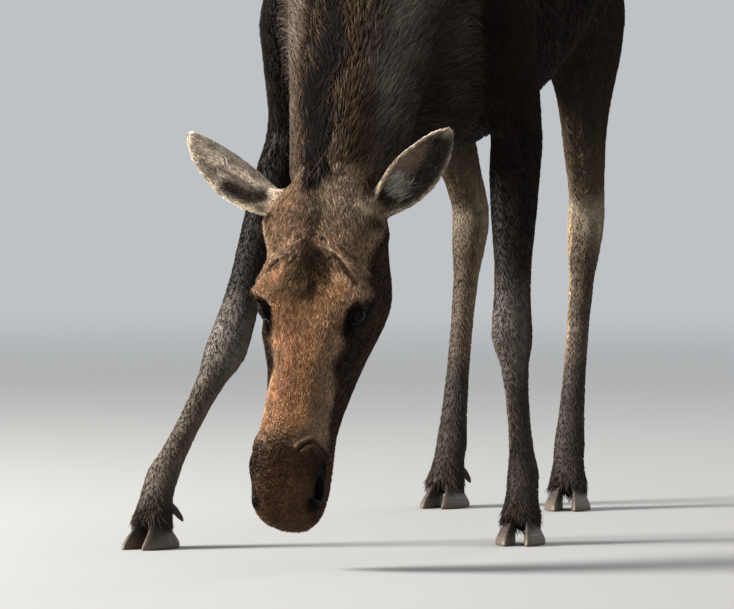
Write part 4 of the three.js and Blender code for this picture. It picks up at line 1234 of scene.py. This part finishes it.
def long_coat(name, where, count, unwrap, unruly=0.14, thick=0.10, stretch=None, droop=None,
              lift=None, dyed=None, even=0.25):
    """A piece of long fur: locks of ten faces that follow the body."""
    roots = roots_on(where, count)
    place, up = at(skin_points, roots), unit(at(normals, roots))
    way = at(lie if droop is None else droop, roots)
    way = flattened(way, up)
    across = np.cross(way, up)
    length = at(hair_length if stretch is None else stretch, roots) * rng.uniform(0.65, 1.30, count)
    angle = (rng.normal(0, unruly, count) + 0.9 * (cloud(place, 0.03, 6) - 0.5)
             + 0.5 * (cloud(place, 0.10, 7) - 0.5))
    way, across = turned(way, across, angle), turned(across, -way, angle)
    half = ((0.0005 + thick * length) * rng.uniform(0.7, 1.3, count) / 2)[:, None]
    rise = ((at(depth, roots) if lift is None else lift) * rng.uniform(0.35, 1.45, count))[:, None]
    length = length[:, None]
    ring = [place - up * 0.001]
    ups, sides, now = [up], [across], place
    for part in (0.5, 1.0):
        goal = (now + way * length * 0.5).tolist()
        found = [skin_tree.find_nearest(point) for point in goal]
        now = np.array([hit[0] for hit in found])
        up = unit(np.array([hit[1] for hit in found]) + up)
        if droop is None:
            way = unit(way * 0.6 + face_lies[[hit[2] for hit in found]] * 0.4)
        way = flattened(way, up)
        ups.append(up)
        sides.append(np.cross(way, up))
        ring.append(now + up * rise * (0.75 if part < 1 else 1.0))
    bend = sides[2] * (rng.normal(0, 0.07, count)[:, None] * length)
    corners = np.stack([
        ring[0] - sides[0] * half,
        ring[0] + sides[0] * half,
        place + ups[0] * (0.25 * rise + 0.35 * half),
        ring[1] - sides[1] * half * 0.85 - ups[1] * 0.2 * half,
        ring[1] + sides[1] * half * 0.85 - ups[1] * 0.2 * half,
        ring[1] + ups[1] * half * 0.35,
        ring[2] + bend,
    ], axis=1)
    body = tuft_colours(roots, place, 0.035, dyed, even)
    # Each lock is painted darker at its root, as painted shade among the hairs, and lighter towards its tip,
    # as painted light.
    colours = body[:, None, :] * np.array([0.55, 0.55, 0.7, 0.9, 0.9, 1.05, 1.25])[None, :, None]
    return coat_of(name, corners, colours, LOCK, bake_patches(unwrap(place), LOCK_MAP))


coat_look = Look("coat", Roughness=0.70, Specular_IOR_Level=0.05)
coat_look.surface(Base_Color=coat_look.stored("colour", "Color"))


# %% [markdown]
# ## Fur on the head and the ears
# Face and ears have the shortest fur, so they get the most and the smallest tufts.

# %% Face, head and ears
def unwrap_head(places):
    return round_axis(places, on_head([0, 0, -0.11]), ALONG, FACE, 0.72)


def unwrap_ear(name):
    way = EAR_TIPS[name] - EAR_ROOTS[name]
    return lambda places: round_axis(places, EAR_ROOTS[name], unit(way), FACE, np.linalg.norm(way))


furred = (1 - soft_step(bare, 0.15, 0.5)) * (1 - 0.9 * head_spot(CREASE_LEFT, 0.0040, 0.5, LEFT))
front = soft_step(face, -0.075, -0.05)
short_coat("fur_face", head * front * furred, 47000, unwrap_head)
short_coat("fur_head", head * (1 - front) * furred, 34000, unwrap_head)
ears_share = soft_step(on_ear, 0.25, 0.6)


def both_ears(places):
    on_right = places @ ACROSS < POLL @ ACROSS
    return two_parts(places, on_right, unwrap_ear("left"), unwrap_ear("right"))


short_coat("fur_ears", ears_share, 26000, both_ears)

# Long pale hairs stand in the hollow of each ear, and lashes on the upper lids.
in_hollow = ear_inside * (ear_tuft + 0.15 * ear_grey)
long_coat("hair_in_ears", in_hollow, 620, both_ears, unruly=0.45, thick=0.05,
          stretch=0.020 + 0 * hair_length, lift=0.007, dyed=("5f5c51", "bab7a8", 0.50))
lash_share, lash_way = np.zeros(len(skin_points)), np.zeros_like(skin_points)
for name in SIDES:
    gaze, first, top = eye_axes(name)
    far, _, _, up_lid, edge = almond(skin_points, name)
    here = soft_bump(edge - 1.14, 0.05) * (far < 1.4 * EYE_RADIUS) * (up_lid > 0.1)
    lash_share += here
    lash_way += scaled(0.6 * top + gaze, here)
long_coat("lashes", lash_share, 260, unwrap_head, thick=0.035, stretch=0.012 + 0 * hair_length,
          droop=lash_way, lift=0.007, dyed=("060504", "15100d", 0.2))

# %% [markdown]
# ## Fur on the neck, trunk, tail and bell
# The neck and trunk have locks of three to five centimetres. A black mane runs down the middle of the
# neck and ends in a point between the ears.

# %% Neck, mane, trunk, tail and bell
def unwrap_neck(places):
    return round_axis(places, POLL - 0.12 * FACE, NECK_LINE, FACE, 0.9)


def unwrap_trunk(places):
    return round_axis(places, np.array([0, -0.6, 1.2]), BACK, -DOWN, 1.8)


beside_mane = on_neck * (1 - 0.8 * mane_share)
long_coat("fur_neck_left", beside_mane * (out > 0), 16500, unwrap_neck, thick=0.055, even=0.45)
long_coat("fur_neck_right", beside_mane * (out <= 0), 14500, unwrap_neck, thick=0.058, even=0.45)
long_coat("fur_shoulders", on_trunk * (y < 0.05), 16500, unwrap_trunk, thick=0.12)
long_coat("fur_rump", on_trunk * (y >= 0.05), 16000, unwrap_trunk, thick=0.12)
mane_length = 0.045 + 0.030 * soft_step(height_on_neck, -0.02, 0.10)
hanging = flattened(-NECK_LINE - scaled(ACROSS, 0.4 * np.clip(mane_middle / 0.03, -1, 1)), normals)
at_poll = 1 - soft_step(height_on_neck, 0.50, 0.62)
mane_way = scaled(1, at_poll) * hanging + scaled(1, 1 - at_poll) * lie
long_coat("fur_mane", mane_share, 9000, unwrap_neck, thick=0.055, unruly=0.10,
          stretch=mane_length, droop=mane_way)
tail_middle = centre_of("tail")
hanging_parts = share_of("tail", "bell") * (1 - soft_step(-normals[:, 2], 0.4, 0.8))
long_coat("fur_tail_and_bell", hanging_parts, 4500, lambda places: two_parts(
    places, places[:, 1] < 0,
    lambda p: round_axis(p, tail_middle + [0, 0, 0.1], DOWN, BACK, 0.2),
    lambda p: round_axis(p, centre_of("bell") + [0, 0, 0.1], DOWN, BACK, 0.2)), thick=0.06, unruly=0.08,
    droop=DOWN + 0 * skin_points, lift=0.002)

# %% [markdown]
# ## Fur on the legs
# The legs have short, close fur that lies straight down.

# %% Forelegs and hind legs
def unwrap_legs(kind):
    feet = {}
    for name in EYES:
        middle = centre_of(f"{kind}_{name}")
        feet[name] = lambda places, middle=middle: round_axis(places, middle * [1, 1, 0], -DOWN, BACK, 1.3)
    border = (centre_of(f"{kind}_left") + centre_of(f"{kind}_right"))[0] / 2
    return lambda places: two_parts(places, places[:, 0] < border, feet["left"], feet["right"])


short_coat("fur_forelegs", on_foreleg, 36000, unwrap_legs("foreleg"), thick=0.105, flat=0.10,
           even=0.75, ridge=0.18)
short_coat("fur_hindlegs", on_hindleg, 36000, unwrap_legs("hindleg"), thick=0.105, flat=0.10,
           even=0.75, ridge=0.18)

# %% [markdown]
# ## Eyes
# A moose's eye is nearly all dark brown iris with a level, oval pupil, and looks black from afar. What
# makes it look alive is the wet gloss of the cornea, which stands out a little from the ball.

# %% Eyeballs
RINGS, AROUND = 48, 72
CORNEA = {"rise": 0.0011, "half_angle": 0.62}

eye_look = Look("eyeball", Roughness=0.04, Specular_IOR_Level=0.05)
seen_x, seen_y = eye_look.stored("eye_along"), eye_look.stored("eye_up")
reach = (seen_x * seen_x + seen_y * seen_y) ** 0.5
fibres = eye_look.noise(eye_look.node("ShaderNodeTexCoord", {}, {}, "Object"), 900.0, 2.0)
pupil = (seen_x * seen_x / 0.105 + seen_y * seen_y / 0.030) ** 0.5
iris = eye_look.mixed(fibres, rgba("080504"), rgba("150c08"))
iris = eye_look.mixed(pupil.step(0.92, 1.06), rgba("020202"), iris)
eye_colour = eye_look.mixed(reach.step(0.60, 0.74), iris, rgba("0a0706"))
eye_look.surface(Base_Color=eye_colour)

for name in SIDES:
    gaze, first, second = eye_axes(name)
    level = unit(ALONG + 0.45 * FACE)  # the pupil stays level while the head is down
    turn, around = np.meshgrid(np.linspace(0, math.pi, RINGS),
                               np.linspace(0, 2 * math.pi, AROUND, endpoint=False), indexing="ij")
    turn, around = turn.ravel(), around.ravel()
    radius = EYE_RADIUS + CORNEA["rise"] * (1 - soft_step(turn, 0, CORNEA["half_angle"]))
    sideways = np.cos(around)[:, None] * first + np.sin(around)[:, None] * second
    points = radius[:, None] * (np.cos(turn)[:, None] * gaze + np.sin(turn)[:, None] * sideways)
    row, column = np.meshgrid(np.arange(RINGS - 1), np.arange(AROUND), indexing="ij")
    a, b = (row * AROUND + column).ravel(), (row * AROUND + (column + 1) % AROUND).ravel()
    c, d = a + AROUND, b + AROUND
    triangles = np.concatenate([np.stack([a, c, b], axis=1), np.stack([b, c, d], axis=1)])
    mesh = mesh_of(f"eyeball_{name}", *welded(points, triangles))
    way = unit(arrays_of(mesh)[0])
    angle = np.arccos(np.clip(way @ gaze, -1, 1))
    spread = angle / np.maximum(np.sin(angle), 1e-6)
    level = flattened(level, gaze)
    store(mesh, "eye_along", spread * (way @ level))
    store(mesh, "eye_up", spread * (way @ np.cross(gaze, level)))
    mesh.materials.append(eye_look.material)
    eyeball = piece_of(f"eyeball_{name}", mesh)
    eyeball.location = EYES[name]
    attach(eyeball, "root")
    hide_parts(f"eye_{name}")
print("eyeballs:", round(2000 * EYE_RADIUS), "mm across")

# %% [markdown]
# ## Hooves
# Each hoof is a capsule of horn with faint rings of growth, worn paler where it meets the ground. The
# solids are wrapped and evened, and the soles are kept flat on the floor.

# %% Hooves and dewclaws
HOOF_CUBE = 0.003
DEWCLAW_MOVES = [0, -0.017, 0.000]  # to sit in the fur behind the pastern
horn_look = Look("hoof_horn", Roughness=0.45, Specular_IOR_Level=0.4)
place = horn_look.node("ShaderNodeTexCoord", {}, {}, "Object")
stretched = horn_look.node("ShaderNodeMapping", {}, {"Vector": place, "Scale": (6.0, 6.0, 90.0)})
rings = horn_look.noise(stretched, 3.0, 2.0)
drawn_out = horn_look.node("ShaderNodeMapping", {}, {"Vector": place, "Scale": (260.0, 260.0, 22.0)})
grain = horn_look.noise(drawn_out, 1.0, 2.0)
worn = 1 - horn_look.stored("height").step(0.004, 0.035)
horn = horn_look.mixed((rings * 0.6 + grain * 0.6).step(0.3, 0.9), rgba("1c1714"), rgba("43382f"))
horn = horn_look.mixed(worn * 0.5, horn, rgba("6a5b4b"))
horn_look.surface(Base_Color=horn, Roughness=0.40 + grain * 0.25,
                  Normal=horn_look.bump(rings * 0.7 + grain * 0.3, 0.002, 0.6))

for leg in ("foreleg_left", "foreleg_right", "hindleg_left", "hindleg_right"):
    names = [f"{kind}_{leg}_{edge}" for kind in ("hoof", "dewclaw") for edge in ("inner", "outer")]
    shells = []
    foot = skin_points[(share_of(leg) > 0.5) & (np.abs(skin_points[:, 2] - 0.06) < 0.015)].mean(axis=0)
    for name in names:
        shell = piece_of(f"{name}_wrap", mesh_of(name, *welded(*arrays_of(nodes[name].data))))
        wrap = shell.modifiers.new("wrap", "REMESH")
        wrap.mode = "VOXEL"
        wrap.voxel_size = HOOF_CUBE if name.startswith("hoof") else 0.002
        even = shell.modifiers.new("even", "SMOOTH")
        even.iterations = 10
        points, triangles = arrays_of(with_modifiers(shell))
        bpy.data.objects.remove(shell)
        if name.startswith("hoof"):
            # The walls lean in towards the pastern, and the horn gets lower from the toe to the heel.
            high = soft_step(points[:, 2] / 0.062, 0.10, 1.0)[:, None]
            points += (foot - points) * [0.34, 0.44, 0] * high
            rear = soft_step(points[:, 1] - foot[1], 0.0, 0.050)
            points[:, 2] *= 1 - 0.40 * rear
            points[:, 2] = np.where(points[:, 2] < 0.0035, 0, points[:, 2])
        else:
            # A claw that starts in the fur behind the pastern and points down and back.
            low, high = points[:, 2].min(), points[:, 2].max()
            up = (points[:, 2] - low) / (high - low)
            points[:, :2] += (points.mean(axis=0) - points)[:, :2] * (0.25 * (1 - up))[:, None]
            points[:, 2] = low + 0.006 + (points[:, 2] - low) * 0.78
            points[:, 0] += (foot[0] - points[:, 0].mean()) * 0.30 * up
            points[:, 1] -= 0.024 * up
            points += DEWCLAW_MOVES
        shells.append((points, triangles))
    points, triangles = joined(shells)
    mesh = mesh_of(f"hooves_{leg}", points, triangles)
    store(mesh, "height", points[:, 2])
    mesh.materials.append(horn_look.material)
    hooves = piece_of(f"hooves_{leg}", mesh)
    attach(hooves, "root")
    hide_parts(*names)
    print(f"hooves_{leg}:", len(triangles), "triangles, lowest", points[:, 2].min().round(4))

# %% [markdown]
# ## Floor, light and camera
# The floor is a wide pale disc that fades into the light of the sky, so there is no horizon. One broad
# soft lamp from the upper left gives the form, and weaker ones keep the black coat from going flat.

# %% Floor and sky
SKY = (0.84, 0.87, 0.90, 1)
world = bpy.data.worlds.new("sky")
bpy.context.scene.world = world
world.use_nodes = True
world.node_tree.nodes["Background"].inputs["Color"].default_value = SKY
world.node_tree.nodes["Background"].inputs["Strength"].default_value = 0.62

floor_look = Look("floor", Roughness=0.8, Specular_IOR_Level=0.2)
ground = floor_look.node("ShaderNodeTexCoord", {}, {}, "Object")
reach = floor_look.node("ShaderNodeVectorMath", {"operation": "LENGTH"}, {"Vector": ground}, "Value")
floor_look.surface(Base_Color=(0.30, 0.30, 0.295, 1))
glow = floor_look.node("ShaderNodeEmission", {}, {"Color": SKY, "Strength": 0.62})
solid_floor = Value(floor_look, floor_look.shader.outputs[0])
blend = floor_look.node("ShaderNodeMixShader", {}, {0: reach.step(2.5, 12.0), 1: solid_floor, 2: glow})
output = floor_look.tree.nodes["Material Output"]
floor_look.tree.links.new(blend.socket, output.inputs["Surface"])

spokes = np.linspace(0, 2 * math.pi, 96, endpoint=False)
rim = np.stack([60 * np.cos(spokes), 60 * np.sin(spokes), 0 * spokes], axis=1)
fan = np.stack([np.zeros(96, int), np.arange(1, 97), np.roll(np.arange(1, 97), -1)], axis=1)
floor_mesh = mesh_of("floor", np.concatenate([[[0, 0, 0]], rim]), fan, smooth=False)
floor_mesh.materials.append(floor_look.material)
piece_of("floor", floor_mesh)


# %% Lamps and camera
def lamp(name, place, power, size, tint=(1, 1, 1)):
    """A square soft lamp that shines at the middle of the animal."""
    data = bpy.data.lights.new(name, "AREA")
    data.energy, data.size, data.color = power, size, tint
    made = bpy.data.objects.new(name, data)
    made.location = place
    made.rotation_euler = (Vector((0, -0.3, 0.8)) - Vector(place)).to_track_quat("-Z", "Y").to_euler()
    bpy.context.scene.collection.objects.link(made)


lamp("key", (-6.5, -2.9, 3.4), 2500, 2.2, (1.0, 0.97, 0.93))
lamp("fill", (4.5, -5.0, 2.0), 30, 3.5, (0.92, 0.96, 1.0))
lamp("edge", (2.0, 5.0, 4.5), 160, 3.0)

CAMERA = {"place": (3.390, -12.824, 1.02), "turn": 15.0, "tip": 2.295, "lens": 302.9, "sensor": 36.0}
camera_data = bpy.data.cameras.new("camera")
camera_data.lens, camera_data.sensor_width, camera_data.clip_end = CAMERA["lens"], CAMERA["sensor"], 400
camera = bpy.data.objects.new("camera", camera_data)
camera.location = CAMERA["place"]
camera.rotation_euler = (math.radians(90 - CAMERA["tip"]), 0, math.radians(CAMERA["turn"]))
bpy.context.scene.collection.objects.link(camera)
bpy.context.scene.camera = camera
bpy.context.scene.view_settings.view_transform = "Standard"
